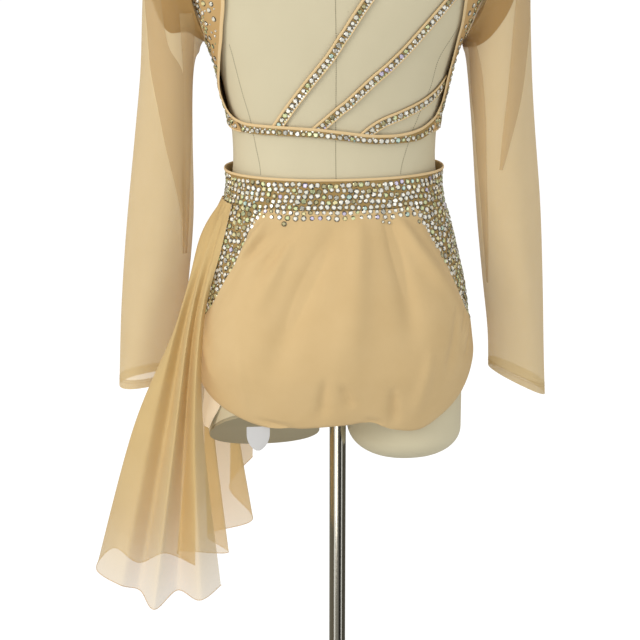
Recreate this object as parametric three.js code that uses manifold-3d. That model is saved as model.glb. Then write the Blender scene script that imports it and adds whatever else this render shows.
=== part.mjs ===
// A lyrical dance costume worn by a limbless dress form on a pole stand, in millimetres, +Z up.
// The back of the costume faces -Y and the wearer's right is +X. The origin is the centre of the
// underside of the round base. Cloth is a thin wall on or around the form, one mesh for each piece.
import * as THREE from "three";
import { mergeVertices } from "three/addons/utils/BufferGeometryUtils.js";
import Module from "manifold-3d";

const wasm = await Module();
wasm.setup();

// ---- driving sizes ----
const CLOTH = 1.2; // wall of every cloth piece
const EASE = 1.4; // gap between the form and the cloth next to it
const SEAM = 0.3; // gap between two pieces at a seam
const OVER = EASE + CLOTH + SEAM; // where cloth that lies on other cloth begins
const SQUARENESS = 2.2; // superellipse power of the body's sections

const WAIST_TOP = 1000; // upper edge of the waistband
const WAISTBAND = 34; // its height
const SIDE_TURN = 90; // turn, in degrees from the centre back, of the side seams
const SIDE_GAP = 0.1; // half the side seam's gap, in degrees
const LEG_SIDE = 800; // height of the brief's leg line at the side
const LEG_FOOT = 728; // and at the crotch
const BODICE_FOOT = 1048;

const POLE_R = 10;
const BASE_R = 175;
const BASE_H = 12;
const NECK_TOP = 1430;
const FORM_X = -5; // the form hangs this far off the pole's middle

// Half width, back depth and front depth of the form at each height.
const BODY = [
  { z: 690, half: 150, back: 84, front: 72 },
  { z: 720, half: 151, back: 92, front: 76 },
  { z: 750, half: 153, back: 102, front: 82 },
  { z: 780, half: 157, back: 112, front: 86 },
  { z: 820, half: 158, back: 118, front: 88 },
  { z: 860, half: 153, back: 116, front: 90 },
  { z: 900, half: 144, back: 108, front: 91 },
  { z: 940, half: 134, back: 97, front: 90 },
  { z: 970, half: 125, back: 88, front: 87 },
  { z: 1000, half: 119, back: 82, front: 85 },
  { z: 1030, half: 118.5, back: 80, front: 86 },
  { z: 1060, half: 121, back: 82, front: 90 },
  { z: 1090, half: 127, back: 86, front: 97 },
  { z: 1120, half: 134, back: 90, front: 106 },
  { z: 1150, half: 145, back: 94, front: 112 },
  { z: 1180, half: 160, back: 96, front: 108 },
  { z: 1210, half: 173, back: 96, front: 98 },
  { z: 1240, half: 181, back: 94, front: 88 },
  { z: 1270, half: 183, back: 88, front: 78 },
  { z: 1300, half: 176, back: 78, front: 66 },
  { z: 1322, half: 160, back: 70, front: 58 },
  { z: 1342, half: 134, back: 62, front: 52 },
  { z: 1358, half: 104, back: 57, front: 50 },
  { z: 1372, half: 76, back: 54, front: 50 },
  { z: 1388, half: 57, back: 52, front: 50 },
  { z: 1404, half: 51, back: 51, front: 50 },
  { z: 1430, half: 50, back: 50, front: 50 },
];

// ---- small maths ----
const rad = THREE.MathUtils.degToRad;
const lerp = THREE.MathUtils.lerp;
const smooth = (a, b, x) => THREE.MathUtils.smoothstep(x, a, b);
const vec = (x, y, z) => new THREE.Vector3(x, y, z);
const steps = (n) => Array.from({ length: n + 1 }, (_, i) => i / n);

// A column of a table, read at a key by a Catmull-Rom curve through its rows.
function read(table, key, column, at) {
  const last = table.length - 1;
  const rising = table[last][key] > table[0][key];
  let i = 0;
  while (i < last - 1 && (rising ? table[i + 1][key] < at : table[i + 1][key] > at)) i += 1;
  const t = THREE.MathUtils.clamp((at - table[i][key]) / (table[i + 1][key] - table[i][key]), 0, 1);
  const p0 = table[Math.max(i - 1, 0)][column];
  const p1 = table[i][column];
  const p2 = table[i + 1][column];
  const p3 = table[Math.min(i + 2, last)][column];
  const bend = 2 * p0 - 5 * p1 + 4 * p2 - p3;
  const twist = 3 * p1 - p0 - 3 * p2 + p3;
  return p1 + 0.5 * t * (p2 - p0 + t * (bend + t * twist));
}

const power = (v) => Math.sign(v) * Math.abs(v) ** (2 / SQUARENESS);

// The form's surface: turn in degrees from the centre back towards the wearer's right, and height.
function skin(turn, z) {
  const c = Math.cos(rad(turn));
  const depth = read(BODY, "z", c > 0 ? "back" : "front", z);
  const across = read(BODY, "z", "half", z) * power(Math.sin(rad(turn)));
  return vec(FORM_X + across, -depth * power(c), z);
}

// The same point moved out along the surface's normal.
function onBody(turn, z, out) {
  const across = skin(turn + 1.5, z).sub(skin(turn - 1.5, z));
  const up = skin(turn, z + 3).sub(skin(turn, z - 3));
  return skin(turn, z).addScaledVector(across.cross(up).normalize(), out);
}

// ---- solids ----
function geometryOf(points, triangles) {
  const geometry = new THREE.BufferGeometry();
  const flat = new Float32Array(points.flatMap((p) => [p.x, p.y, p.z]));
  geometry.setAttribute("position", new THREE.BufferAttribute(flat, 3));
  geometry.setIndex(triangles);
  return geometry;
}

const quad = (a, b, c, d) => [a, b, c, a, c, d];

function signedVolume(points, triangles) {
  let sum = 0;
  for (let i = 0; i < triangles.length; i += 3) {
    const [a, b, c] = [0, 1, 2].map((k) => points[triangles[i + k]]);
    sum += a.dot(b.clone().cross(c));
  }
  return sum;
}

// A closed wall between two grids of the same size, rows of points [row][column]; round = the
// columns close on themselves.
function wall(inner, outer, round = false) {
  const rows = inner.length;
  const cols = inner[0].length;
  const count = rows * cols;
  const points = [...inner.flat(), ...outer.flat()];
  const at = (side, r, c) => side * count + r * cols + (c % cols);
  const triangles = [];
  const lastCol = round ? cols : cols - 1;
  for (let r = 0; r < rows - 1; r += 1) {
    for (let c = 0; c < lastCol; c += 1) {
      triangles.push(...quad(at(0, r, c), at(0, r + 1, c), at(0, r + 1, c + 1), at(0, r, c + 1)));
      triangles.push(...quad(at(1, r, c), at(1, r, c + 1), at(1, r + 1, c + 1), at(1, r + 1, c)));
    }
    if (!round) {
      triangles.push(...quad(at(0, r, 0), at(1, r, 0), at(1, r + 1, 0), at(0, r + 1, 0)));
      const end = cols - 1;
      triangles.push(...quad(at(0, r, end), at(0, r + 1, end), at(1, r + 1, end), at(1, r, end)));
    }
  }
  for (let c = 0; c < lastCol; c += 1) {
    triangles.push(...quad(at(0, 0, c), at(0, 0, c + 1), at(1, 0, c + 1), at(1, 0, c)));
    const end = rows - 1;
    triangles.push(...quad(at(0, end, c), at(1, end, c), at(1, end, c + 1), at(0, end, c + 1)));
  }
  if (signedVolume(points, triangles) < 0) triangles.reverse();
  return geometryOf(points, triangles);
}

// A grid's unit normals, from its neighbouring points.
function normals(grid, round = false) {
  const rows = grid.length;
  const cols = grid[0].length;
  const pick = (r, c) => {
    const col = round ? (c + cols) % cols : THREE.MathUtils.clamp(c, 0, cols - 1);
    return grid[THREE.MathUtils.clamp(r, 0, rows - 1)][col];
  };
  return grid.map((row, r) => row.map((_, c) => {
    const across = pick(r, c + 1).clone().sub(pick(r, c - 1));
    const down = pick(r + 1, c).clone().sub(pick(r - 1, c));
    return across.cross(down).normalize();
  }));
}

// A wall of one thickness, half of it on each side of a grid of middle points.
function sheet(grid, round = false, thick = CLOTH) {
  const n = normals(grid, round);
  const side = (k) => grid.map((row, r) => row.map((p, c) => p.clone().addScaledVector(n[r][c], k)));
  return wall(side(-thick / 2), side(thick / 2), round);
}

// A solid stack of closed rings, each end closed by a fan on its middle.
function stack(rings) {
  const cols = rings[0].length;
  const middle = (ring) => ring.reduce((s, p) => s.add(p), vec(0, 0, 0)).divideScalar(cols);
  const points = [...rings.flat(), middle(rings[0]), middle(rings.at(-1))];
  const foot = rings.length * cols;
  const triangles = [];
  for (let c = 0; c < cols; c += 1) {
    const next = (c + 1) % cols;
    for (let r = 0; r < rings.length - 1; r += 1) {
      const a = r * cols;
      triangles.push(...quad(a + c, a + next, a + cols + next, a + cols + c));
    }
    const top = foot - cols;
    triangles.push(foot, next, c, foot + 1, top + c, top + next);
  }
  if (signedVolume(points, triangles) < 0) triangles.reverse();
  return geometryOf(points, triangles);
}

function solidOf(geometry) {
  const merged = mergeVertices(geometry, 1e-4);
  return new wasm.Manifold(new wasm.Mesh({
    numProp: 3,
    vertProperties: merged.attributes.position.array,
    triVerts: new Uint32Array(merged.index.array),
  }));
}

function geometryFrom(solid) {
  const mesh = solid.getMesh();
  const geometry = new THREE.BufferGeometry();
  geometry.setAttribute("position", new THREE.BufferAttribute(mesh.vertProperties, 3));
  geometry.setIndex(new THREE.BufferAttribute(mesh.triVerts, 1));
  return geometry;
}

// ---- materials and the group ----
const MATERIALS = {
  canvas: { color: "#d8d0b4", roughness: 0.9 },
  board: { color: "#8f8870", roughness: 0.9 },
  lining: { color: "#ead9bd", roughness: 0.8 },
  mesh: { color: "#d9c296", roughness: 0.8 },
  crepe: { color: "#d8bd8d", roughness: 0.75 },
  stoned: { color: "#b7a888", roughness: 0.4 },
  label: { color: "#f1f0ee", roughness: 0.6 },
  chrome: { color: "#c9cbcd", roughness: 0.15, metalness: 1 },
  enamel: { color: "#2b2b2c", roughness: 0.4 },
};

const group = new THREE.Group();

function piece(name, finish, geometry) {
  const mesh = new THREE.Mesh(geometry, new THREE.MeshStandardMaterial(MATERIALS[finish]));
  mesh.name = name;
  group.add(mesh);
}

// ---- the dress form ----
const FORM_SIDES = 44;
const TORSO_FOOT = 725;
const STUB = { back: 73, front: 64, foot: 646, dome: 36, top: 755 };
const STUBS = { left: { x: -90, half: 67 }, right: { x: 81, half: 69 } };
const CAP = { x: -91, y: 62, z: 634.5, tilt: 34, thick: 3 };

const ringTurns = (n) => steps(n).slice(0, n).map((t) => 360 * t);

function torso() {
  const heights = [...BODY.map((row) => row.z).filter((z) => z > TORSO_FOOT), TORSO_FOOT];
  heights.sort((a, b) => a - b);
  return stack(heights.map((z) => ringTurns(FORM_SIDES).map((turn) => skin(turn, z))));
}

// One thigh stub: a superellipse column with a rounded lower end.
function stub({ x, half }) {
  const ring = (scale, z) => ringTurns(28).map((turn) => {
    const c = Math.cos(rad(turn));
    const depth = c > 0 ? STUB.back : STUB.front;
    const across = half * scale * power(Math.sin(rad(turn)));
    return vec(x + across, -depth * scale * power(c), z);
  });
  const dome = [12, 30, 48, 66, 90].map((a) => {
    const z = STUB.foot + STUB.dome * (1 - Math.cos(rad(a)));
    return ring(Math.sin(rad(a)) ** 0.8, z);
  });
  return stack([...dome, ring(1, STUB.top)]);
}

// A box whose slanted upper face lies on the left thigh's cut, this far below it.
function slantBox(below, height) {
  const box = new THREE.BoxGeometry(157, 400, height);
  box.deleteAttribute("normal");
  box.deleteAttribute("uv");
  box.translate(0, 0, -height / 2 - below);
  box.rotateX(rad(-CAP.tilt));
  box.translate(CAP.x, CAP.y, CAP.z);
  return solidOf(box);
}

const bodySolid = solidOf(torso()).add(solidOf(stub(STUBS.left)));
const formSolid = bodySolid.subtract(slantBox(0, 200)).add(solidOf(stub(STUBS.right)));
piece("dress_form", "canvas", geometryFrom(formSolid));
piece("thigh_cap", "board", geometryFrom(bodySolid.intersect(slantBox(SEAM, CAP.thick))));

// ---- the stand ----
function lathe(profile, sides = 40) {
  const shape = profile.map(([r, z]) => new THREE.Vector2(r, z));
  const geometry = new THREE.LatheGeometry(shape, sides);
  geometry.rotateX(Math.PI / 2);
  return geometry;
}

const POLE_TOP = TORSO_FOOT - 12;
piece("stand_base", "enamel", lathe([
  [0, 0], [BASE_R, 0], [BASE_R, BASE_H - 5], [BASE_R - 5, BASE_H], [40, BASE_H + 3],
  [22, BASE_H + 26], [POLE_R + 3, BASE_H + 30], [0, BASE_H + 30],
]));
piece("stand_pole", "chrome", lathe([
  [0, BASE_H + 30 + SEAM], [POLE_R, BASE_H + 30 + SEAM], [POLE_R, POLE_TOP], [0, POLE_TOP],
], 20));
piece("pole_collar", "enamel", lathe([
  [0, POLE_TOP + SEAM], [POLE_R + 1, POLE_TOP + SEAM],
  [POLE_R + 1, TORSO_FOOT - SEAM], [0, TORSO_FOOT - SEAM],
], 24));
const neckCap = lathe([
  [0, NECK_TOP + SEAM], [48, NECK_TOP + SEAM], [48, NECK_TOP + 6], [40, NECK_TOP + 10],
  [9, NECK_TOP + 12], [9, NECK_TOP + 24], [14, NECK_TOP + 30], [12, NECK_TOP + 40],
  [0, NECK_TOP + 44],
], 24);
neckCap.translate(FORM_X, 0, 0);
piece("neck_cap", "enamel", neckCap);

// ---- cloth that lies on the form ----
// A wall over a grid of places on the form, each a turn, a height and a distance out.
function bodyWall(grid, thick = CLOTH) {
  const at = (extra) => grid.map((row) => row.map((p) => onBody(p.turn, p.z, p.out + extra)));
  return wall(at(0), at(thick));
}

// Extra ease where the cloth bends over the shoulders.
const shoulderEase = (z) => 1.8 * smooth(1280, 1330, z);

const left = -1;
const right = 1;
const seamTurn = SIDE_TURN - SIDE_GAP;

// The armhole's back and front edge: turn from the centre back at each height.
const UNDERARM = 1150;
const SHOULDER_TIP = 1324;
const ARM_BACK = [
  { z: UNDERARM, turn: seamTurn },
  { z: 1154, turn: 83 },
  { z: 1162, turn: 77 },
  { z: 1180, turn: 73 },
  { z: 1240, turn: 72 },
  { z: 1280, turn: 74 },
  { z: 1305, turn: 79 },
  { z: 1318, turn: 84 },
  { z: SHOULDER_TIP, turn: seamTurn },
];
const ARM_FRONT = [
  { z: UNDERARM, turn: 180 - seamTurn },
  { z: 1156, turn: 98 },
  { z: 1175, turn: 105 },
  { z: 1210, turn: 111 },
  { z: 1250, turn: 112 },
  { z: 1290, turn: 107 },
  { z: 1315, turn: 98 },
  { z: SHOULDER_TIP, turn: 180 - seamTurn },
];

// Bodice front, rows from hem to neckline: height at the centre, and the side edge's height.
const BODICE = [
  { row: 0, centre: BODICE_FOOT, side: BODICE_FOOT, scoop: 1 },
  { row: 1, centre: 1085, side: 1100, scoop: 1 },
  { row: 2, centre: 1122, side: UNDERARM, scoop: 1.1 },
  { row: 3, centre: 1155, side: 1185, scoop: 1.2 },
  { row: 4, centre: 1185, side: 1222, scoop: 1.3 },
  { row: 5, centre: 1212, side: 1260, scoop: 1.5 },
  { row: 6, centre: 1236, side: 1298, scoop: 1.7 },
  { row: 7, centre: 1254, side: SHOULDER_TIP, scoop: 2 },
  { row: 8, centre: 1270, side: 1364, scoop: 2.4 },
];

function bodiceFront() {
  const cols = steps(18).map((t) => 2 * t - 1);
  return bodyWall(steps(13).map((v) => {
    const row = 8 * v;
    const side = read(BODICE, "row", "side", row);
    const inArmhole = side > UNDERARM && side < SHOULDER_TIP;
    const sideTurn = inArmhole ? read(ARM_FRONT, "z", "turn", side) : 180 - seamTurn;
    return cols.map((t) => {
      const rise = Math.abs(t) ** read(BODICE, "row", "scoop", row);
      const z = lerp(read(BODICE, "row", "centre", row), side, rise);
      return { turn: 180 - t * (180 - sideTurn), z, out: OVER + shoulderEase(z) };
    });
  }));
}
piece("bodice_front", "mesh", bodiceFront());

// Side-back panels: the turn of the back opening's edge at each height, and how far it stands off.
const OPENING = {
  left: [
    { z: BODICE_FOOT, turn: 62, off: 0 },
    { z: 1062, turn: 67, off: 1 },
    { z: 1075, turn: 74, off: 4 },
    { z: 1100, turn: 76, off: 6 },
    { z: 1130, turn: 69.5, off: 3 },
    { z: 1167, turn: 57, off: 0 },
    { z: 1201, turn: 48, off: 0 },
    { z: 1240, turn: 46, off: 0 },
    { z: 1280, turn: 43, off: 0 },
    { z: 1315, turn: 43, off: 0 },
    { z: 1345, turn: 50, off: 0 },
    { z: 1364, turn: 74, off: 0 },
  ],
  right: [
    { z: BODICE_FOOT, turn: 62, off: 0 },
    { z: 1066, turn: 63, off: 0 },
    { z: 1080, turn: 67, off: 1 },
    { z: 1100, turn: 66, off: 2 },
    { z: 1128, turn: 67, off: 1 },
    { z: 1163, turn: 61.5, off: 0 },
    { z: 1198, turn: 54, off: 0 },
    { z: 1240, turn: 50, off: 0 },
    { z: 1280, turn: 46, off: 0 },
    { z: 1315, turn: 44, off: 0 },
    { z: 1345, turn: 50, off: 0 },
    { z: 1364, turn: 74, off: 0 },
  ],
};

function sidePanel(side, opening) {
  return bodyWall(steps(20).map((v) => {
    const z = lerp(BODICE_FOOT, opening.at(-1).z, v);
    const inArmhole = z > UNDERARM && z < SHOULDER_TIP;
    const outer = inArmhole ? read(ARM_BACK, "z", "turn", z) : seamTurn;
    const inner = read(opening, "z", "turn", z);
    const off = OVER + shoulderEase(z);
    const stand = read(opening, "z", "off", z);
    return steps(3).map((t) => {
      return { turn: side * lerp(inner, outer, t), z, out: off + stand * (1 - t) };
    });
  }));
}
piece("side_panel_left", "stoned", sidePanel(left, OPENING.left));
piece("side_panel_right", "stoned", sidePanel(right, OPENING.right));

// The band that closes the bodice low on the back: its two edges' heights at each turn.
const BAND = [
  { turn: -61.4, top: 1061, foot: 1051 },
  { turn: -47, top: 1060.5, foot: 1050.5 },
  { turn: -29, top: 1060, foot: 1050.5 },
  { turn: -10, top: 1058, foot: 1049 },
  { turn: 1.5, top: 1054, foot: 1045 },
  { turn: 13, top: 1050, foot: 1041 },
  { turn: 31, top: 1049, foot: 1039.5 },
  { turn: 47, top: 1053.5, foot: 1041 },
  { turn: 61.4, top: 1063, foot: BODICE_FOOT },
];
piece("back_band", "stoned", bodyWall(steps(1).map((v) => steps(32).map((t) => {
  const turn = lerp(BAND[0].turn, BAND.at(-1).turn, t);
  const z = lerp(read(BAND, "turn", "foot", turn), read(BAND, "turn", "top", turn), v);
  return { turn, z, out: OVER };
}))));

// Diagonal straps: each row is a place on the strap's middle line. Their ends tuck under.
const STRAP_WIDTH = 12;
const STRAPS = {
  strap_upper: [
    { turn: -35.5, z: 1056.5 },
    { turn: -21.7, z: 1091.5 },
    { turn: -9.3, z: 1126 },
    { turn: -3, z: 1148 },
    { turn: 3.1, z: 1181 },
    { turn: 7.6, z: 1204 },
    { turn: 15, z: 1240 },
    { turn: 26.5, z: 1286 },
    { turn: 42.3, z: 1322 },
  ],
  strap_middle: [
    { turn: -14, z: 1053 },
    { turn: -3.5, z: 1074 },
    { turn: 11.1, z: 1109 },
    { turn: 20, z: 1128 },
    { turn: 28.5, z: 1149.5 },
    { turn: 35.9, z: 1174 },
    { turn: 43.1, z: 1198 },
    { turn: 49.5, z: 1218 },
  ],
  strap_lower: [
    { turn: 9, z: 1047 },
    { turn: 14, z: 1056.5 },
    { turn: 20.5, z: 1064.5 },
    { turn: 29.7, z: 1071 },
    { turn: 43.4, z: 1080.5 },
    { turn: 51.7, z: 1087 },
    { turn: 59.6, z: 1094.5 },
    { turn: 70, z: 1107 },
  ],
};

// Rows with an even key, so that a table without one can be read as a curve.
const numbered = (table) => table.map((row, step) => ({ ...row, step }));

function strap(places) {
  const path = numbered(places);
  const count = 3 * (places.length - 1);
  const at = (s, out) => onBody(read(path, "step", "turn", s), read(path, "step", "z", s), out);
  const edge = (out) => steps(count).map((t) => {
    const s = t * (places.length - 1);
    const along = at(Math.min(s + 0.05, places.length - 1), out).sub(at(Math.max(s - 0.05, 0), out));
    const outward = at(s, out + 1).sub(at(s, out));
    const across = along.cross(outward).normalize();
    return [-0.5, 0, 0.5].map((k) => at(s, out).addScaledVector(across, k * STRAP_WIDTH));
  });
  return wall(edge(EASE), edge(EASE + CLOTH));
}
Object.entries(STRAPS).forEach(([name, places]) => piece(name, "stoned", strap(places)));

// ---- sleeves ----
// Rings from the armhole to the cuff: where each starts under the arm and ends on the outer side,
// its middle's depth, and half its size from back to front.
const SLEEVES = {
  left: [
    { ring: 1, innerX: 156, innerZ: 1148, outerX: 203, outerZ: 1314, y: 0, depth: 51 },
    { ring: 2, innerX: 160, innerZ: 1144, outerX: 217, outerZ: 1282, y: 0, depth: 48 },
    { ring: 3, innerX: 162, innerZ: 1138, outerX: 223, outerZ: 1236, y: 1, depth: 46 },
    { ring: 4, innerX: 165, innerZ: 1126, outerX: 226, outerZ: 1186, y: 3, depth: 44 },
    { ring: 5, innerX: 167, innerZ: 1092, outerX: 230, outerZ: 1116, y: 6, depth: 42 },
    { ring: 6, innerX: 169, innerZ: 1030, outerX: 237, outerZ: 1042, y: 11, depth: 40 },
    { ring: 7, innerX: 171, innerZ: 945, outerX: 246, outerZ: 950, y: 20, depth: 38 },
    { ring: 8, innerX: 179, innerZ: 860, outerX: 254, outerZ: 860, y: 29, depth: 36 },
    { ring: 9, innerX: 187, innerZ: 792, outerX: 260, outerZ: 790, y: 34, depth: 34 },
    { ring: 10, innerX: 192, innerZ: 742, outerX: 264, outerZ: 730, y: 35, depth: 31 },
  ],
  right: [
    { ring: 1, innerX: 146, innerZ: 1147, outerX: 203, outerZ: 1314, y: 0, depth: 51 },
    { ring: 2, innerX: 147, innerZ: 1143, outerX: 216, outerZ: 1280, y: 0, depth: 48 },
    { ring: 3, innerX: 147.5, innerZ: 1137, outerX: 221, outerZ: 1232, y: 0, depth: 46 },
    { ring: 4, innerX: 148, innerZ: 1126, outerX: 223, outerZ: 1182, y: 0, depth: 44 },
    { ring: 5, innerX: 151, innerZ: 1092, outerX: 228, outerZ: 1116, y: 0, depth: 42 },
    { ring: 6, innerX: 158, innerZ: 1030, outerX: 234, outerZ: 1042, y: 0, depth: 40 },
    { ring: 7, innerX: 166, innerZ: 953, outerX: 241, outerZ: 957, y: 0, depth: 38 },
    { ring: 8, innerX: 176, innerZ: 863, outerX: 247, outerZ: 860, y: 0, depth: 36 },
    { ring: 9, innerX: 182, innerZ: 802, outerX: 252, outerZ: 786, y: 0, depth: 33 },
    { ring: 10, innerX: 184, innerZ: 752, outerX: 256, outerZ: 715, y: 0, depth: 30 },
  ],
};
const SLEEVE_SIDES = 24;
const SLEEVE_RINGS = 15;
const SLEEVE_OUT = OVER + 1.5 * CLOTH + 2 * SEAM;

// Long soft folds of a sleeve: where they lie round the arm, how many fit round it, and how deep.
const SLEEVE_FOLDS = [
  { middle: 2.2, reach: 2.2, around: 3, slant: 1.1, depth: 2.6 },
  { middle: 5.4, reach: 2.6, around: 2, slant: -0.7, depth: 2.2 },
  { middle: 8.6, reach: 1.8, around: 4, slant: 0.9, depth: 1.5 },
];

function sleeveFold(ring, angle) {
  return SLEEVE_FOLDS.reduce((sum, fold) => {
    const near = Math.exp(-(((ring - fold.middle) / fold.reach) ** 2));
    return sum + near * fold.depth * Math.cos(rad(angle * fold.around) + fold.slant * ring);
  }, 0);
}

// The armhole loop as the sleeve's first ring: 0 degrees at the shoulder tip, 90 at the back.
function armholePoint(side, angle) {
  const z = lerp(UNDERARM, SHOULDER_TIP, 0.5 + 0.5 * Math.cos(rad(angle)));
  const edge = angle <= 180 ? ARM_BACK : ARM_FRONT;
  return onBody(side * read(edge, "z", "turn", z), z, SLEEVE_OUT + shoulderEase(z));
}

function sleevePoint(side, rows, ring, angle) {
  const value = (column) => read(rows, "ring", column, Math.max(ring, 1));
  const [x0, z0] = [value("innerX"), value("innerZ")];
  const [x1, z1] = [value("outerX"), value("outerZ")];
  const k = 0.5 + 0.5 * Math.cos(rad(angle));
  const fold = sleeveFold(ring, angle);
  const reach = Math.hypot(x1 - x0, z1 - z0);
  const along = k + (fold / reach) * Math.cos(rad(angle));
  const depth = value("depth") + fold;
  const y = value("y") - depth * Math.sin(rad(angle));
  const point = vec(side * lerp(x0, x1, along), y, lerp(z0, z1, along));
  return ring < 1 ? armholePoint(side, angle).lerp(point, ring) : point;
}

function sleeve(side, rows) {
  const angles = ringTurns(SLEEVE_SIDES);
  const rings = steps(SLEEVE_RINGS).map((t) => 10 * t ** 1.15);
  return sheet(rings.map((ring) => angles.map((a) => sleevePoint(side, rows, ring, a))), true);
}
piece("sleeve_left", "mesh", sleeve(left, SLEEVES.left));
piece("sleeve_right", "mesh", sleeve(right, SLEEVES.right));

// ---- waistband and brief ----
const BAND_FOOT = WAIST_TOP - WAISTBAND;
const BAND_THICK = 2;
const BAND_LIFT = 6; // the upper edge stands off the form at the sides

function waistband(from, to) {
  return bodyWall(steps(2).map((v) => steps(24).map((t) => {
    const turn = lerp(from, to, t);
    const lift = BAND_LIFT * v * v * Math.sin(rad(turn)) ** 4;
    return { turn, z: lerp(BAND_FOOT, WAIST_TOP, v), out: EASE + lift };
  })), BAND_THICK);
}
piece("waistband_back", "stoned", waistband(-seamTurn, seamTurn));
piece("waistband_front", "stoned", waistband(180 - seamTurn, 180 + seamTurn));

// The leg line's height at a turn from the middle of the back or of the front.
const CROTCH_TURN = 13;
function legLine(turn) {
  const t = Math.max(0, (Math.abs(turn) - CROTCH_TURN) / (seamTurn - CROTCH_TURN));
  return lerp(LEG_FOOT, LEG_SIDE, t ** 0.7);
}

function brief(middle) {
  return bodyWall(steps(8).map((v) => steps(22).map((t) => {
    const turn = lerp(-seamTurn, seamTurn, t);
    return { turn: middle + turn, z: lerp(BAND_FOOT - SEAM, legLine(turn), v), out: EASE };
  })));
}
piece("brief_back", "stoned", brief(0));
piece("brief_front", "crepe", brief(180));

// The gusset's two ends, under the form between the thighs, parted at the pole.
const GUSSET_Z = TORSO_FOOT - EASE - CLOTH;
function gusset(y0, y1) {
  const innerThigh = (y) => {
    const reach = y < 0 ? STUB.back : STUB.front;
    const t = Math.min(1, Math.abs(y) / reach) ** SQUARENESS;
    return STUBS.right.x - STUBS.right.half * (1 - t) ** (1 / SQUARENESS);
  };
  return sheet(steps(5).map((v) => {
    const y = lerp(y0, y1, v);
    const half = Math.min(22, innerThigh(y) - 1);
    return [-1, 0, 1].map((k) => vec(k * half, y, GUSSET_Z));
  }));
}
piece("gusset_back", "crepe", gusset(-82, -POLE_R - 4));
piece("gusset_front", "crepe", gusset(POLE_R + 4, 66));

// ---- bubble overlay over the seat ----
// Its upper edge, from the left side seam along the hip seam, the waist and the other hip seam.
const OVERLAY_TOP = [
  { t: -1, turn: -seamTurn, z: 812 },
  { t: -0.83, turn: -72, z: 840 },
  { t: -0.7, turn: -58, z: 881 },
  { t: -0.58, turn: -51, z: 922 },
  { t: -0.46, turn: -43, z: 959 },
  { t: -0.3, turn: -27, z: 962 },
  { t: 0, turn: -2, z: 962 },
  { t: 0.25, turn: 23, z: 962 },
  { t: 0.4, turn: 38.5, z: 961 },
  { t: 0.5, turn: 45, z: 937 },
  { t: 0.61, turn: 53.5, z: 901 },
  { t: 0.72, turn: 62, z: 861 },
  { t: 0.84, turn: 73, z: 830 },
  { t: 1, turn: seamTurn, z: 812 },
];
// Its lower edge, which falls in shallow scallops.
const OVERLAY_HEM = [
  { t: -1, turn: -seamTurn, z: 778 },
  { t: -0.85, turn: -80, z: 764 },
  { t: -0.66, turn: -67, z: 745 },
  { t: -0.47, turn: -48, z: 727 },
  { t: -0.3, turn: -34, z: 718 },
  { t: -0.16, turn: -21, z: 717 },
  { t: 0, turn: -1.5, z: 721 },
  { t: 0.1, turn: 9, z: 724 },
  { t: 0.2, turn: 20, z: 712 },
  { t: 0.33, turn: 33, z: 707 },
  { t: 0.49, turn: 47, z: 721 },
  { t: 0.64, turn: 58, z: 734 },
  { t: 0.8, turn: 71, z: 751 },
  { t: 0.9, turn: 80, z: 768 },
  { t: 1, turn: seamTurn, z: 784 },
];
// How far the cloth stands out from the brief on the way down, and the roll at the hem.
const OVERLAY_OUT = [
  { v: 0, out: 2, drop: 0 },
  { v: 0.1, out: 3.6, drop: 0 },
  { v: 0.3, out: 6, drop: 0 },
  { v: 0.55, out: 9, drop: 0 },
  { v: 0.8, out: 11.5, drop: 0 },
  { v: 0.95, out: 11.5, drop: 0 },
  { v: 1, out: 9.5, drop: 2 },
  { v: 1.04, out: 5.5, drop: 2.5 },
  { v: 1.1, out: 3.4, drop: -3 },
];
const OVERLAY_SIDE = { left: 0.05, right: -0.5 }; // fuller by the drape, flat on the other hip
const OVERLAY_FOLDS = 1.6; // height of the soft diagonal folds

function overlayPoint(t, v) {
  const down = Math.min(v, 1);
  const turn = lerp(read(OVERLAY_TOP, "t", "turn", t), read(OVERLAY_HEM, "t", "turn", t), down);
  const z = lerp(read(OVERLAY_TOP, "t", "z", t), read(OVERLAY_HEM, "t", "z", t), down);
  const full = 1 + (t < 0 ? OVERLAY_SIDE.left : OVERLAY_SIDE.right) * Math.abs(t) ** 3;
  const wave = Math.cos(9 * t + 4 * down * Math.sign(t));
  const fold = OVERLAY_FOLDS * (1 - t ** 4) * Math.sin(Math.PI * down) * wave;
  const out = OVER + CLOTH / 2 + full * read(OVERLAY_OUT, "v", "out", v) + fold;
  return onBody(turn, z - read(OVERLAY_OUT, "v", "drop", v), out);
}
const overlayRows = [0, 0.07, 0.18, 0.32, 0.46, 0.6, 0.74, 0.86, 0.95, 1, 1.04, 1.1];
piece("seat_overlay", "crepe", sheet(overlayRows.map((v) => {
  return steps(26).map((t) => overlayPoint(2 * t - 1, v));
})));

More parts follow.
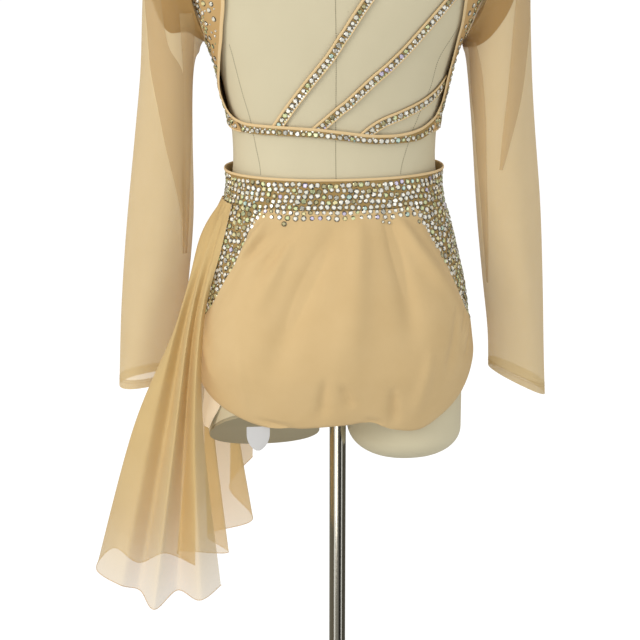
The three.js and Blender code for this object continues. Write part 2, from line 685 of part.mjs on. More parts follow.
// ---- side drape ----
// Each row is one fold line of the drape, from its back edge round the left hip to its front edge:
// its turn at the waist, how far it flares out just below, then where it passes the hip, the
// thigh and the hem.
const DRAPE_TOP = BAND_FOOT - 1.5;
const DRAPE_OUT = OVER + 1.6;
const FLARE_Z = 915;
const HIP_Z = 830;
const THIGH_Z = 700;
const DRAPE = [
  { fold: "edge", turn: 68, flare: 1, hipX: 163, hipY: -58, legX: 166, legY: -64, x: 148, y: -60, z: 504 },
  { fold: "crest", turn: 72, flare: 4, hipX: 168, hipY: -66, legX: 178, legY: -88, x: 175, y: -100, z: 503 },
  { fold: "valley", turn: 76, flare: 2, hipX: 173, hipY: -50, legX: 187, legY: -50, x: 200, y: -42, z: 492 },
  { fold: "crest", turn: 79, flare: 8, hipX: 180, hipY: -60, legX: 200, legY: -82, x: 229, y: -96, z: 492 },
  { fold: "valley", turn: 82, flare: 6, hipX: 183, hipY: -42, legX: 208, legY: -46, x: 245, y: -42, z: 494 },
  { fold: "crest", turn: 85, flare: 16, hipX: 193, hipY: -46, legX: 228, legY: -54, x: 269, y: -56, z: 508 },
  { fold: "turn", turn: 88, flare: 22, hipX: 192, hipY: -28, legX: 247, legY: -34, x: 297, y: -12, z: 512 },
  { fold: "far", turn: 92, flare: 19, hipX: 182, hipY: -17, legX: 228, legY: -18, x: 276, y: 40, z: 517 },
  { fold: "valley", turn: 96, flare: 8, hipX: 177, hipY: -6, legX: 202, legY: -10, x: 246, y: 16, z: 506 },
  { fold: "crest", turn: 102, flare: 9, hipX: 174, hipY: 10, legX: 184, legY: 10, x: 218, y: 58, z: 500 },
  { fold: "valley", turn: 108, flare: 5, hipX: 169, hipY: 24, legX: 176, legY: 22, x: 190, y: 20, z: 498 },
  { fold: "crest", turn: 115, flare: 7, hipX: 162, hipY: 40, legX: 170, legY: 46, x: 168, y: 62, z: 500 },
  { fold: "valley", turn: 122, flare: 4, hipX: 153, hipY: 52, legX: 158, legY: 46, x: 143, y: 32, z: 508 },
  { fold: "crest", turn: 129, flare: 6, hipX: 142, hipY: 64, legX: 146, legY: 72, x: 122, y: 66, z: 520 },
  { fold: "valley", turn: 137, flare: 4, hipX: 127, hipY: 72, legX: 128, legY: 80, x: 104, y: 48, z: 545 },
  { fold: "crest", turn: 144, flare: 6, hipX: 112, hipY: 83, legX: 113, legY: 93, x: 112, y: 88, z: 575 },
  { fold: "edge", turn: 150, flare: 2, hipX: 96, hipY: 88, legX: 96, legY: 99, x: 98, y: 94, z: 612 },
];

// The levels of one fold line, which a Catmull-Rom curve joins.
function drapeLine(s) {
  const lines = numbered(DRAPE);
  const value = (column) => read(lines, "step", column, s);
  const gather = 1.2 * Math.cos(Math.PI * s);
  return numbered([
    onBody(left * value("turn"), DRAPE_TOP, DRAPE_OUT + gather),
    onBody(left * value("turn"), FLARE_Z, DRAPE_OUT + value("flare")),
    vec(left * value("hipX"), value("hipY"), HIP_Z),
    vec(left * value("legX"), value("legY"), THIGH_Z),
    vec(left * value("x"), value("y"), value("z")),
  ].map((p) => ({ x: p.x, y: p.y, z: p.z })));
}

function drape() {
  const lines = steps(3 * (DRAPE.length - 1)).map((t) => drapeLine(t * (DRAPE.length - 1)));
  return sheet(steps(12).map((v) => lines.map((line) => {
    return vec(...["x", "y", "z"].map((axis) => read(line, "step", axis, 4 * v)));
  })));
}
piece("hip_drape", "mesh", drape());

// ---- lining flap and care label at the left leg ----
const FLAP = [
  { z: 772, from: 88, to: 66, out: 3.2 },
  { z: 746, from: 88, to: 62, out: 3.4 },
  { z: 728, from: 88, to: 63, out: 5 },
  { z: 710, from: 86, to: 68, out: 9 },
  { z: 695, from: 80, to: 72, out: 11 },
];
piece("leg_lining", "lining", sheet(FLAP.map((row) => steps(5).map((t) => {
  return onBody(left * lerp(row.from, row.to, t), row.z, row.out);
}))));

const LABEL = { x: -103, y: -86, top: 711.5, foot: 683, half: 11.5, lean: 4 };
piece("care_label", "label", sheet([0, 0.25, 0.5, 0.68, 0.82, 0.92, 0.985].map((v) => {
  const half = LABEL.half * Math.sqrt(1 - Math.max(0, (v - 0.5) / 0.5) ** 2);
  return [-1, -0.33, 0.33, 1].map((k) => {
    return vec(LABEL.x + k * half, LABEL.y + LABEL.lean * v, lerp(LABEL.top, LABEL.foot, v));
  });
})));

export default group;
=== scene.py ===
"""A lyrical dance costume on a limbless dress form: its finished looks, in metres, +Z up.

The back of the costume faces -Y and the wearer's right is +X. A place on the body is a turn, in
degrees from the centre back towards the wearer's right, a height, and a distance out of the form.
"""

import logging
import math
from collections.abc import Callable
from dataclasses import dataclass, field
from enum import Enum

import bpy
import numpy as np
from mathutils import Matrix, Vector


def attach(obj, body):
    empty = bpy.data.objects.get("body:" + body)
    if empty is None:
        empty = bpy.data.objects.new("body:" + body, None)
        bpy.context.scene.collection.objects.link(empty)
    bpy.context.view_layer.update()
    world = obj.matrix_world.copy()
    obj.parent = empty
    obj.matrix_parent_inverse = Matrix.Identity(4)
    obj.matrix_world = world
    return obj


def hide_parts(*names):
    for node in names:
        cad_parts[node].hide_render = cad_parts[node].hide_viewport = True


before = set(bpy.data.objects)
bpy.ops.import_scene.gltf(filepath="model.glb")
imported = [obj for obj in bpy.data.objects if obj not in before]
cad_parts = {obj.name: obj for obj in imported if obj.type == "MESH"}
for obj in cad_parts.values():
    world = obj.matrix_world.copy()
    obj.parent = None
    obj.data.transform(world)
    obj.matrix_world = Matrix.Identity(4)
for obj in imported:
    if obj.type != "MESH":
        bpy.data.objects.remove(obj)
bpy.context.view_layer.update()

Array = np.ndarray
MM = 0.001
LOG = logging.getLogger("costume")
SEED = 20260

# ---- small maths


def unit(vectors: Array) -> Array:
    """The same vectors at length 1."""
    return vectors / np.maximum(np.linalg.norm(vectors, axis=-1, keepdims=True), 1e-12)


def smooth(low: float, high: float, x: Array) -> Array:
    """A soft step from 0 at low to 1 at high."""
    t = np.clip((np.asarray(x, float) - low) / (high - low), 0, 1)
    return t * t * (3 - 2 * t)


def lerp(a: Array, b: Array, t: Array) -> Array:
    """The mix of a and b, a at 0 and b at 1."""
    return a + (b - a) * t


class Curve:
    """Values read along a rising key by a Catmull-Rom curve through their rows."""

    def __init__(self, keys: Array, values: Array) -> None:
        """Keeps the rows. Values may be numbers or vectors, one for each key."""
        self.keys = np.asarray(keys, float)
        self.values = np.asarray(values, float)

    def __call__(self, at: Array) -> Array:
        """The curve's value at each key.

        Args:
            at: Keys to read, of any shape.
        Returns:
            Values of that shape, with a vector's own axis last.
        """
        at = np.asarray(at, float)
        last = len(self.keys) - 1
        i = np.clip(np.searchsorted(self.keys, at, side="left") - 1, 0, last - 1)
        t = np.clip((at - self.keys[i]) / (self.keys[i + 1] - self.keys[i]), 0, 1)
        t = t.reshape(t.shape + (1,) * (self.values.ndim - 1))
        p0, p1 = self.values[np.maximum(i - 1, 0)], self.values[i]
        p2, p3 = self.values[i + 1], self.values[np.minimum(i + 2, last)]
        bend = 2 * p0 - 5 * p1 + 4 * p2 - p3
        twist = 3 * p1 - p0 - 3 * p2 + p3
        return p1 + 0.5 * t * (p2 - p0 + t * (bend + t * twist))


def through(values: Array) -> Curve:
    """A curve through rows at 0, 1, 2 and so on."""
    return Curve(np.arange(len(values)), values)


def columns(table: tuple, *numbers: int) -> list[Array]:
    """The numbered columns of a table of rows, or all of them, as arrays."""
    rows = np.array(table, float)
    return [rows[:, n] for n in numbers or range(rows.shape[1])]


def steps(count: int, low: float = 0.0, high: float = 1.0) -> Array:
    """Evenly spaced values from low to high, count + 1 of them."""
    return np.linspace(low, high, count + 1)


def circle(count: int, whole: float = 2 * math.pi) -> Array:
    """Evenly spaced angles round a circle, without the one that closes it."""
    return np.linspace(0, whole, count, endpoint=False)


def arc(path: Array) -> Array:
    """How far along a path each of its points is."""
    return np.r_[0, np.cumsum(np.linalg.norm(np.diff(path, axis=0), axis=-1))]


def evened(values: Array, times: int) -> Array:
    """Values smoothed along their first axis: each becomes a quarter, a half and a quarter of three."""
    for _ in range(times):
        values[1:-1] = (values[:-2] + 2 * values[1:-1] + values[2:]) / 4
    return values


def creased(rows: tuple, x: Array, y: Array, scale: float) -> Array:
    """How far creases lift each point: a bell across each crease, faded past its two ends.

    Args:
        rows: For each crease, x and y of its start, then of its end, and in millimetres its
            height, which is negative for a trough, its width, and how far it bows aside.
        x: First coordinate of the points, such as a turn in degrees.
        y: Second coordinate of the points, in metres.
        scale: Metres for each unit of x.
    Returns:
        The lift at each point, in metres.
    """
    lift = np.zeros(np.broadcast(x, y).shape)
    for x0, y0, x1, y1, height, width, bow in rows:
        start, end = np.array([x0 * scale, y0]), np.array([x1 * scale, y1])
        length = np.linalg.norm(end - start)
        along, aside = (end - start) / length, np.array([start[1] - end[1], end[0] - start[0]]) / length
        dx, dy = x * scale - start[0], y - start[1]
        t = (dx * along[0] + dy * along[1]) / length
        middle = bow * MM * np.sin(np.pi * np.clip(t, 0, 1))
        off = dx * aside[0] + dy * aside[1] - middle
        fade = smooth(-0.25, 0.3, t) * (1 - smooth(0.65, 1.2, t))
        wide = width * MM * (0.75 + 0.5 * np.clip(t, 0, 1))
        lift = lift + height * MM * fade * np.exp(-((off / wide) ** 2))
    return lift


# ---- surfaces


@dataclass
class Surface:
    """Points and faces on the way to a mesh, with a flat map in metres and a tint for each face."""

    points: Array
    faces: list[Array]
    flat: Array | None = None
    tints: Array | None = None


def join(parts: list[Surface]) -> Surface:
    """Several surfaces as one. All of them have tints, or none has."""
    shift, faces = 0, []
    for part in parts:
        faces += [f + shift for f in part.faces]
        shift += len(part.points)
    flat = [p.flat if p.flat is not None else p.points[:, [0, 2]] for p in parts]
    tinted = parts[0].tints is not None
    tints = np.concatenate([p.tints for p in parts]) if tinted else None
    return Surface(np.concatenate([p.points for p in parts]), faces, np.concatenate(flat), tints)


def grid_faces(rows: int, cols: int, round_it: bool = False) -> Array:
    """The quads of a grid of points, whose columns close on themselves where round_it is set."""
    r, c = np.meshgrid(np.arange(rows - 1), np.arange(cols if round_it else cols - 1), indexing="ij")
    nxt = (c + 1) % cols
    quads = [r * cols + c, r * cols + nxt, (r + 1) * cols + nxt, (r + 1) * cols + c]
    return np.stack(quads, -1).reshape(-1, 4)


def grid_normals(grid: Array, round_it: bool = False) -> Array:
    """Unit normals of a grid, from the difference of each point's neighbours."""
    if round_it:
        across = np.roll(grid, -1, 1) - np.roll(grid, 1, 1)
    else:
        across = np.gradient(grid, axis=1)
    return unit(np.cross(across, np.gradient(grid, axis=0)))


def flat_map(grid: Array) -> Array:
    """A flat map of a grid in metres: lengths along its middle row and its middle column."""
    rows, cols = grid.shape[:2]
    u, v = arc(grid[rows // 2]), arc(grid[:, cols // 2])
    return np.stack(np.broadcast_arrays(u[None, :], v[:, None]), -1).reshape(-1, 2)


def repeated(faces: list[Array], count: int, size: int) -> list[Array]:
    """The faces of one small shape of size points, for each of its copies."""
    shift = (np.arange(count) * size)[:, None, None]
    return [(f[None] + shift).reshape(-1, f.shape[1]) for f in faces]


def signed_volume(points: Array, faces: list[Array]) -> float:
    """Six times the volume inside closed faces, negative where they face inwards."""
    total = 0.0
    for face in faces:
        a = points[face[:, 0]]
        for k in range(1, face.shape[1] - 1):
            total += float((a * np.cross(points[face[:, k]], points[face[:, k + 1]])).sum())
    return total


def facing_out(surface: Surface) -> Surface:
    """The same closed surface, with its faces turned round if they point inwards."""
    if signed_volume(surface.points, surface.faces) < 0:
        surface.faces = [f[:, ::-1] for f in surface.faces]
    return surface


def single(grid: Array, round_it: bool = False) -> Surface:
    """One layer of sheer cloth on a grid, of no thickness.

    Args:
        grid: Rows of points, [row, column, xyz].
        round_it: Whether the columns close on themselves, as a sleeve's do.
    Returns:
        The layer, facing away from the middle of each ring, or from the stand where it is open.
    """
    points = grid.reshape(-1, 3)
    quads = grid_faces(*grid.shape[:2], round_it)
    middle = grid.mean(1, keepdims=True) if round_it else np.array([0.0, 0.0, 0.8])
    a, b, c = (points[quads[:, k]] for k in range(3))
    centres = np.broadcast_to(middle, grid.shape).reshape(-1, 3)[quads[:, 0]]
    if (np.cross(b - a, c - a) * (a - centres) * (1, 1, 0)).sum() < 0:
        quads = quads[:, ::-1]
    return Surface(points, [quads], flat_map(grid))


def shell(grid: Array, thick: float, round_it: bool = False, rise: float = 0.0) -> Surface:
    """A closed wall on a grid of points.

    Args:
        grid: Rows of points, [row, column, xyz].
        thick: The wall's thickness.
        round_it: Whether the columns close on themselves.
        rise: Where the grid lies in the wall: 0 in its middle, 1 on its inner face.
    Returns:
        The wall, with its faces pointing out of it.
    """
    rows, cols = grid.shape[:2]
    normals = grid_normals(grid, round_it)
    inner = (grid + normals * thick * (rise - 1) / 2).reshape(-1, 3)
    outer = (grid + normals * thick * (rise + 1) / 2).reshape(-1, 3)
    count = rows * cols
    face = grid_faces(rows, cols, round_it)
    c = np.arange(cols if round_it else cols - 1)
    nxt, end = (c + 1) % cols, (rows - 1) * cols
    rims = [
        np.stack([c, nxt, nxt + count, c + count], -1)[:, ::-1],
        np.stack([end + c, end + nxt, end + nxt + count, end + c + count], -1),
    ]
    if not round_it:
        r = np.arange(rows - 1) * cols
        down = r + cols
        last = cols - 1
        rims.append(np.stack([r, down, down + count, r + count], -1))
        rims.append(np.stack([r, down, down + count, r + count], -1)[:, ::-1] + last)
    quads = np.concatenate([face[:, ::-1], face + count, *rims])
    points = np.concatenate([inner, outer])
    return facing_out(Surface(points, [quads], np.tile(flat_map(grid), (2, 1))))


def sweep(path: Array, outward: Array, profile: Array, closed: bool = False,
          widths: Array | float = 1.0) -> Surface:
    """A profile carried along a path, its first axis across the path and its second outwards.

    Args:
        path: Points of the path.
        outward: The way that is up for the profile at each of them.
        profile: A closed outline, (across, out) in metres.
        closed: Whether the path's end meets its start.
        widths: How much wider than its outline the profile is at each point.
    Returns:
        A closed tube, with a cap at each end of an open path.
    """
    step = (np.roll(path, -1, 0) - np.roll(path, 1, 0)) if closed else np.gradient(path, axis=0)
    tangent = unit(step)
    across = unit(np.cross(tangent, outward))
    up = np.cross(across, tangent)
    across = across * np.reshape(widths, (-1, 1))
    rings = path[:, None] + across[:, None] * profile[:, :1] + up[:, None] * profile[:, 1:]
    count, sides = rings.shape[:2]
    points = rings.reshape(-1, 3)
    rows = count + 1 if closed else count
    quads = grid_faces(rows, sides, True) % (count * sides)
    rim = np.linspace(0, arc(profile)[-1], sides)
    flat = np.stack(np.broadcast_arrays(arc(path)[:, None], rim[None, :]), -1).reshape(-1, 2)
    faces = [quads]
    if not closed:
        cap = np.arange(sides)[None]
        faces += [cap[:, ::-1], cap + (count - 1) * sides]
    return facing_out(Surface(points, faces, flat))


def rounded_profile(width: float, height: float, sides: int = 10) -> Array:
    """The outline of a soft strip that lies on a cloth: a flattened oval, mostly above it."""
    a = circle(sides)
    across = np.sign(np.cos(a)) * np.abs(np.cos(a)) ** 0.7 * width / 2
    return np.stack([across, (np.sin(a) + 0.55) * height / 2], -1)


def resampled(path: Array, pitch: float) -> Array:
    """Where to read a path, as shares of its points, for even steps of this pitch."""
    along = arc(path)
    count = max(2, int(along[-1] / pitch))
    return np.interp(np.linspace(0, along[-1], count), along, np.arange(len(path)))


def read_path(path: Array, at: Array) -> Array:
    """The points of a path at fractional places along it."""
    i = np.clip(at.astype(int), 0, len(path) - 2)
    return lerp(path[i], path[i + 1], (at - i)[:, None])


# ---- the body


class Body:
    """The form's skin: superellipses whose half width and two depths follow the height."""

    CENTRE_X = -5 * MM
    SQUARENESS = 2.2
    # height, half width, back depth, front depth
    ROWS = (
        (0.690, 0.150, 0.084, 0.072), (0.720, 0.151, 0.092, 0.076), (0.750, 0.153, 0.102, 0.082),
        (0.780, 0.157, 0.112, 0.086), (0.820, 0.158, 0.118, 0.088), (0.860, 0.153, 0.116, 0.090),
        (0.900, 0.144, 0.108, 0.091), (0.940, 0.134, 0.097, 0.090), (0.970, 0.125, 0.088, 0.087),
        (1.000, 0.119, 0.082, 0.085), (1.030, 0.1185, 0.080, 0.086), (1.060, 0.121, 0.082, 0.090),
        (1.090, 0.127, 0.086, 0.097), (1.120, 0.134, 0.090, 0.106), (1.150, 0.145, 0.094, 0.112),
        (1.180, 0.160, 0.096, 0.108), (1.210, 0.173, 0.096, 0.098), (1.240, 0.181, 0.094, 0.088),
        (1.270, 0.183, 0.088, 0.078), (1.300, 0.176, 0.078, 0.066), (1.322, 0.160, 0.070, 0.058),
        (1.342, 0.134, 0.062, 0.052), (1.358, 0.104, 0.057, 0.050), (1.372, 0.076, 0.054, 0.050),
        (1.388, 0.057, 0.052, 0.050), (1.404, 0.051, 0.051, 0.050), (1.430, 0.050, 0.050, 0.050),
    )

    def __init__(self) -> None:
        """Makes the curves of the three sizes."""
        z, half, back, front = columns(self.ROWS)
        self.half, self.back, self.front = Curve(z, half), Curve(z, back), Curve(z, front)

    def power(self, value: Array) -> Array:
        """A sine or cosine bent to the superellipse."""
        return np.sign(value) * np.abs(value) ** (2 / self.SQUARENESS)

    def skin(self, turn: Array, z: Array) -> Array:
        """The skin's point at each turn and height."""
        turn, z = np.broadcast_arrays(np.asarray(turn, float), np.asarray(z, float))
        cos, sin = np.cos(np.radians(turn)), np.sin(np.radians(turn))
        depth = np.where(cos > 0, self.back(z), self.front(z))
        x = self.CENTRE_X + self.half(z) * self.power(sin)
        return np.stack([x, -depth * self.power(cos), z], -1)

    def normal(self, turn: Array, z: Array) -> Array:
        """The skin's outward normal."""
        across = self.skin(turn + 1.5, z) - self.skin(turn - 1.5, z)
        up = self.skin(turn, z + 3 * MM) - self.skin(turn, z - 3 * MM)
        return unit(np.cross(across, up))

    def place(self, turn: Array, z: Array, out: Array) -> Array:
        """The skin's point moved out along its normal."""
        turn, z, out = np.broadcast_arrays(turn, z, out)
        return self.skin(turn, z) + self.normal(turn, z) * np.asarray(out)[..., None]


BODY = Body()
EASE = 1.4 * MM  # gap between the form and the cloth next to it
CLOTH = 1.2 * MM  # the solids' wall, which the finer cloth lies inside
SEAM = 0.3 * MM
OVER = EASE + CLOTH + SEAM  # where cloth that lies on other cloth begins
FINE = 0.8 * MM  # the cloth's own thickness
NEXT = EASE + CLOTH / 2  # the middle of cloth next to the form
UPON = OVER + CLOTH / 2  # the middle of cloth that lies on other cloth
UPON_FACE = UPON + FINE / 2  # and its outer face
SIDE_TURN = 89.9  # the side seams, just short of the sides
FORM_FOOT = 0.725
NECK_TOP = 1.430
WAIST_TOP = 1.000
BAND_FOOT = 0.966


class Side(Enum):
    """The wearer's two sides. The value is the side's sign in X."""

    LEFT = -1
    RIGHT = 1

    @property
    def word(self) -> str:
        """The side's name, as the names of pieces have it."""
        return self.name.lower()


# ---- finishes


def linear(code: str) -> tuple[float, float, float, float]:
    """An sRGB hex colour as linear red, green, blue and alpha."""
    value = np.array([int(code[i : i + 2], 16) for i in (1, 3, 5)]) / 255
    low, high = value / 12.92, ((value + 0.055) / 1.055) ** 2.4
    return (*(float(v) for v in np.where(value <= 0.04045, low, high)), 1.0)


def add_node(tree: bpy.types.NodeTree, kind: str, settings: dict | None = None,
             links: dict | None = None) -> bpy.types.Node:
    """Adds a node.

    Args:
        tree: The node tree.
        kind: The node's type without its ShaderNode prefix.
        settings: Its properties, and its inputs' values by name or number.
        links: What feeds its inputs, by name or number. A node stands for its first output.
    Returns:
        The node.
    """
    node = tree.nodes.new(f"ShaderNode{kind}")
    for key, value in (settings or {}).items():
        if isinstance(key, int) or key in node.inputs.keys():
            node.inputs[key].default_value = value
        else:
            setattr(node, key, value)
    for key, source in (links or {}).items():
        source = source.outputs[0] if isinstance(source, bpy.types.Node) else source
        tree.links.new(source, node.inputs[key])
    return node


def new_material(name: str, settings: dict) -> tuple[bpy.types.Material, bpy.types.Node]:
    """A material with one Principled shader, and that shader."""
    material = bpy.data.materials.new(name)
    material.use_nodes = True
    tree = material.node_tree
    tree.nodes.clear()
    shader = add_node(tree, "BsdfPrincipled", settings)
    add_node(tree, "OutputMaterial", links={"Surface": shader})
    return material, shader


def shader_of(material: bpy.types.Material) -> bpy.types.Node:
    """A material's Principled shader."""
    return next(n for n in material.node_tree.nodes if n.type == "BSDF_PRINCIPLED")


def set_stops(ramp: bpy.types.Node, rows: list[tuple]) -> None:
    """Gives a new colour ramp its stops, each a place and a colour."""
    stops = ramp.color_ramp.elements
    for number, (at, colour) in enumerate(rows):
        stop = stops[number] if number < 2 else stops.new(at)
        stop.position, stop.color = at, colour


FLAT_MAP = "cloth"
TINT = "tint"


@dataclass(frozen=True)
class Woven:
    """A woven or knitted cloth: crossed threads that stand up a little, and soft mottling.

    The threads are drawn at their spacing on the cloth's own flat map. The finest real ones, of
    0.2 to 0.4 mm, are drawn coarser here, so that they still show as a grain.
    """

    name: str
    light: str
    dark: str
    thread: float = 0.7 * MM
    relief: float = 0.05 * MM
    roughness: float = 0.75
    sheen: float = 0.04
    alpha: float = 1.0
    mottle: float = 0.045
    contrast: float = 0.5
    thread_shade: float = 0.06
    slub_relief: float = 1.5

    def build(self) -> bpy.types.Material:
        """The finish as a material."""
        material, shader = new_material(self.name, {
            "Roughness": self.roughness, "Sheen Weight": self.sheen, "Sheen Roughness": 0.5,
            "Alpha": self.alpha, "Specular IOR Level": 0.25})
        tree = material.node_tree
        flat = add_node(tree, "UVMap", {"uv_map": FLAT_MAP})
        split = add_node(tree, "SeparateXYZ", links={0: flat})
        per_metre = 2 * math.pi / self.thread
        waves = []
        for axis in (0, 1):
            turns = add_node(tree, "Math", {"operation": "MULTIPLY", 1: per_metre}, {0: split.outputs[axis]})
            waves.append(add_node(tree, "Math", {"operation": "SINE"}, {0: turns}))
        threads = add_node(tree, "Math", {"operation": "MULTIPLY"}, {0: waves[0], 1: waves[1]})
        slub = add_node(tree, "TexNoise", {"Scale": 0.12 / self.thread, "Detail": 3.0}, {"Vector": flat})
        cloud = add_node(tree, "TexNoise", {"Scale": 1 / self.mottle, "Detail": 4.0}, {"Vector": flat})
        clouds = add_node(tree, "Math", {"operation": "MULTIPLY", 1: self.contrast}, {0: cloud})
        shade = add_node(tree, "Math", {"operation": "MULTIPLY_ADD", 1: self.thread_shade * self.contrast},
                         {0: threads, 2: clouds})
        colour = add_node(tree, "Mix", {"data_type": "RGBA", 6: linear(self.light),
                                        7: linear(self.dark)}, {0: shade})
        tree.links.new(colour.outputs[2], shader.inputs["Base Color"])
        height = add_node(tree, "Math", {"operation": "MULTIPLY_ADD", 1: self.slub_relief},
                          {0: slub, 2: threads})
        bump = add_node(tree, "Bump", {"Strength": 0.5, "Distance": self.relief}, {"Height": height})
        tree.links.new(bump.outputs[0], shader.inputs["Normal"])
        return material


@dataclass(frozen=True)
class Tulle:
    """Soft tulle: gathered close above, so dense there, and sheer where it spreads below."""

    name: str = "soft_tulle"
    light: str = "#d6bb85"
    dark: str = "#bd9f68"
    # height and cover of the cloth
    cover: tuple = ((0.50, 0.52), (0.58, 0.72), (0.70, 0.88), (0.90, 0.97))

    def build(self) -> bpy.types.Material:
        """The finish as a material."""
        material = Woven(self.name, self.light, self.dark, relief=0.04 * MM).build()
        tree = material.node_tree
        place = add_node(tree, "SeparateXYZ", links={0: add_node(tree, "TexCoord").outputs["Object"]})
        low, high = self.cover[0][0], self.cover[-1][0]
        share = add_node(tree, "MapRange", {1: low, 2: high, 3: 0.0, 4: 1.0}, {0: place.outputs[2]})
        ramp = add_node(tree, "ValToRGB", links={0: share})
        set_stops(ramp, [((z - low) / (high - low), (cover, cover, cover, 1.0))
                         for z, cover in self.cover])
        tree.links.new(ramp.outputs[0], shader_of(material).inputs["Alpha"])
        return material


@dataclass(frozen=True)
class Satin:
    """A smooth woven ribbon: plain, with a soft sheen along its weft."""

    name: str
    colour: str
    roughness: float = 0.42
    rib: float = 0.8 * MM

    def build(self) -> bpy.types.Material:
        """The finish as a material."""
        material, shader = new_material(self.name, {"Base Color": linear(self.colour),
                                                    "Roughness": self.roughness, "Sheen Weight": 0.2})
        tree = material.node_tree
        flat = add_node(tree, "SeparateXYZ", links={0: add_node(tree, "UVMap", {"uv_map": FLAT_MAP})})
        turns = add_node(tree, "Math", {"operation": "MULTIPLY", 1: 2 * math.pi / self.rib},
                         {0: flat.outputs[1]})
        ribs = add_node(tree, "Math", {"operation": "SINE"}, {0: turns})
        bump = add_node(tree, "Bump", {"Strength": 0.3, "Distance": 0.05 * MM}, {"Height": ribs})
        tree.links.new(bump.outputs[0], shader.inputs["Normal"])
        return material


@dataclass(frozen=True)
class CutStone:
    """Foil-backed cut glass that throws the room back sharply. Each facet's colour, read from the tint
    attribute, is the glass tint with painted light on it: painted highlights on the tables, painted
    reflections from dark to bright on the crown facets, and painted shadow on the rims.
    """

    name: str = "foil_backed_cut_glass"

    def build(self) -> bpy.types.Material:
        """The finish as a material."""
        material, shader = new_material(self.name, {
            "Metallic": 0.15, "Roughness": 0.18, "Coat Weight": 1.0, "Coat Roughness": 0.03})
        tree = material.node_tree
        # the tint attribute holds painted highlights, painted reflections and painted shadow over the glass
        # tint
        tint = add_node(tree, "Attribute", {"attribute_name": TINT})
        tree.links.new(tint.outputs["Color"], shader.inputs["Base Color"])
        return material


@dataclass(frozen=True)
class PolishedSteel:
    """Chromed steel tube: a mirror with hair-fine rub marks round it."""

    name: str = "chromed_steel_tube"
    colour: str = "#d2cfc4"

    def build(self) -> bpy.types.Material:
        """The finish as a material."""
        material, shader = new_material(self.name, {"Base Color": linear(self.colour), "Metallic": 1.0})
        tree = material.node_tree
        place = add_node(tree, "TexCoord").outputs["Object"]
        stretched = add_node(tree, "Mapping", {"Scale": (60.0, 60.0, 900.0)}, {"Vector": place})
        rubs = add_node(tree, "TexNoise", {"Scale": 1.0, "Detail": 2.0}, {"Vector": stretched})
        rough = add_node(tree, "Math", {"operation": "MULTIPLY_ADD", 1: 0.12, 2: 0.1}, {0: rubs})
        tree.links.new(rough.outputs[0], shader.inputs["Roughness"])
        return material


@dataclass(frozen=True)
class Enamel:
    """Stoved enamel on steel: a hard coat with faint orange peel and dust-worn patches."""

    name: str = "stoved_black_enamel"
    colour: str = "#262627"

    def build(self) -> bpy.types.Material:
        """The finish as a material."""
        material, shader = new_material(self.name, {"Base Color": linear(self.colour),
                                                    "Coat Weight": 0.4, "Coat Roughness": 0.15})
        tree = material.node_tree
        place = add_node(tree, "TexCoord").outputs["Object"]
        peel = add_node(tree, "TexNoise", {"Scale": 700.0, "Detail": 1.0}, {"Vector": place})
        worn = add_node(tree, "TexNoise", {"Scale": 14.0, "Detail": 4.0}, {"Vector": place})
        rough = add_node(tree, "Math", {"operation": "MULTIPLY_ADD", 1: 0.25, 2: 0.28}, {0: worn})
        tree.links.new(rough.outputs[0], shader.inputs["Roughness"])
        bump = add_node(tree, "Bump", {"Strength": 0.2, "Distance": 0.05 * MM}, {"Height": peel})
        tree.links.new(bump.outputs[0], shader.inputs["Normal"])
        return material


@dataclass(frozen=True)
class Canvas:
    """Cream cotton canvas, plain weave, stretched on the form: a grain, a bloom and a few spots."""

    name: str = "cotton_canvas"
    light: str = "#d8cfb2"
    dark: str = "#c6bda0"
    spot: str = "#9a9072"
    thread: float = 0.9 * MM

    def build(self) -> bpy.types.Material:
        """The finish as a material."""
        woven = Woven(self.name, self.light, self.dark, self.thread, 0.07 * MM, 0.92, 0.1, mottle=0.07)
        material = woven.build()
        tree = material.node_tree
        shader = shader_of(material)
        base = shader.inputs["Base Color"].links[0].from_socket
        flat = add_node(tree, "UVMap", {"uv_map": FLAT_MAP})
        specks = add_node(tree, "TexVoronoi", {"Scale": 34.0, "Randomness": 1.0}, {"Vector": flat})
        # A speck of 1 mm or so stands near the middle of a few of the cells.
        near = add_node(tree, "Math", {"operation": "LESS_THAN", 1: 0.035},
                        {0: specks.outputs["Distance"]})
        draw = add_node(tree, "SeparateXYZ", links={0: specks.outputs["Color"]})
        picked = add_node(tree, "Math", {"operation": "GREATER_THAN", 1: 0.72}, {0: draw})
        chosen = add_node(tree, "Math", {"operation": "MULTIPLY"}, {0: near, 1: picked})
        marks = add_node(tree, "Math", {"operation": "MULTIPLY", 1: 0.55}, {0: chosen})
        mix = add_node(tree, "Mix", {"data_type": "RGBA", 7: linear(self.spot)}, {0: marks, 6: base})
        tree.links.new(mix.outputs[2], shader.inputs["Base Color"])
        return material


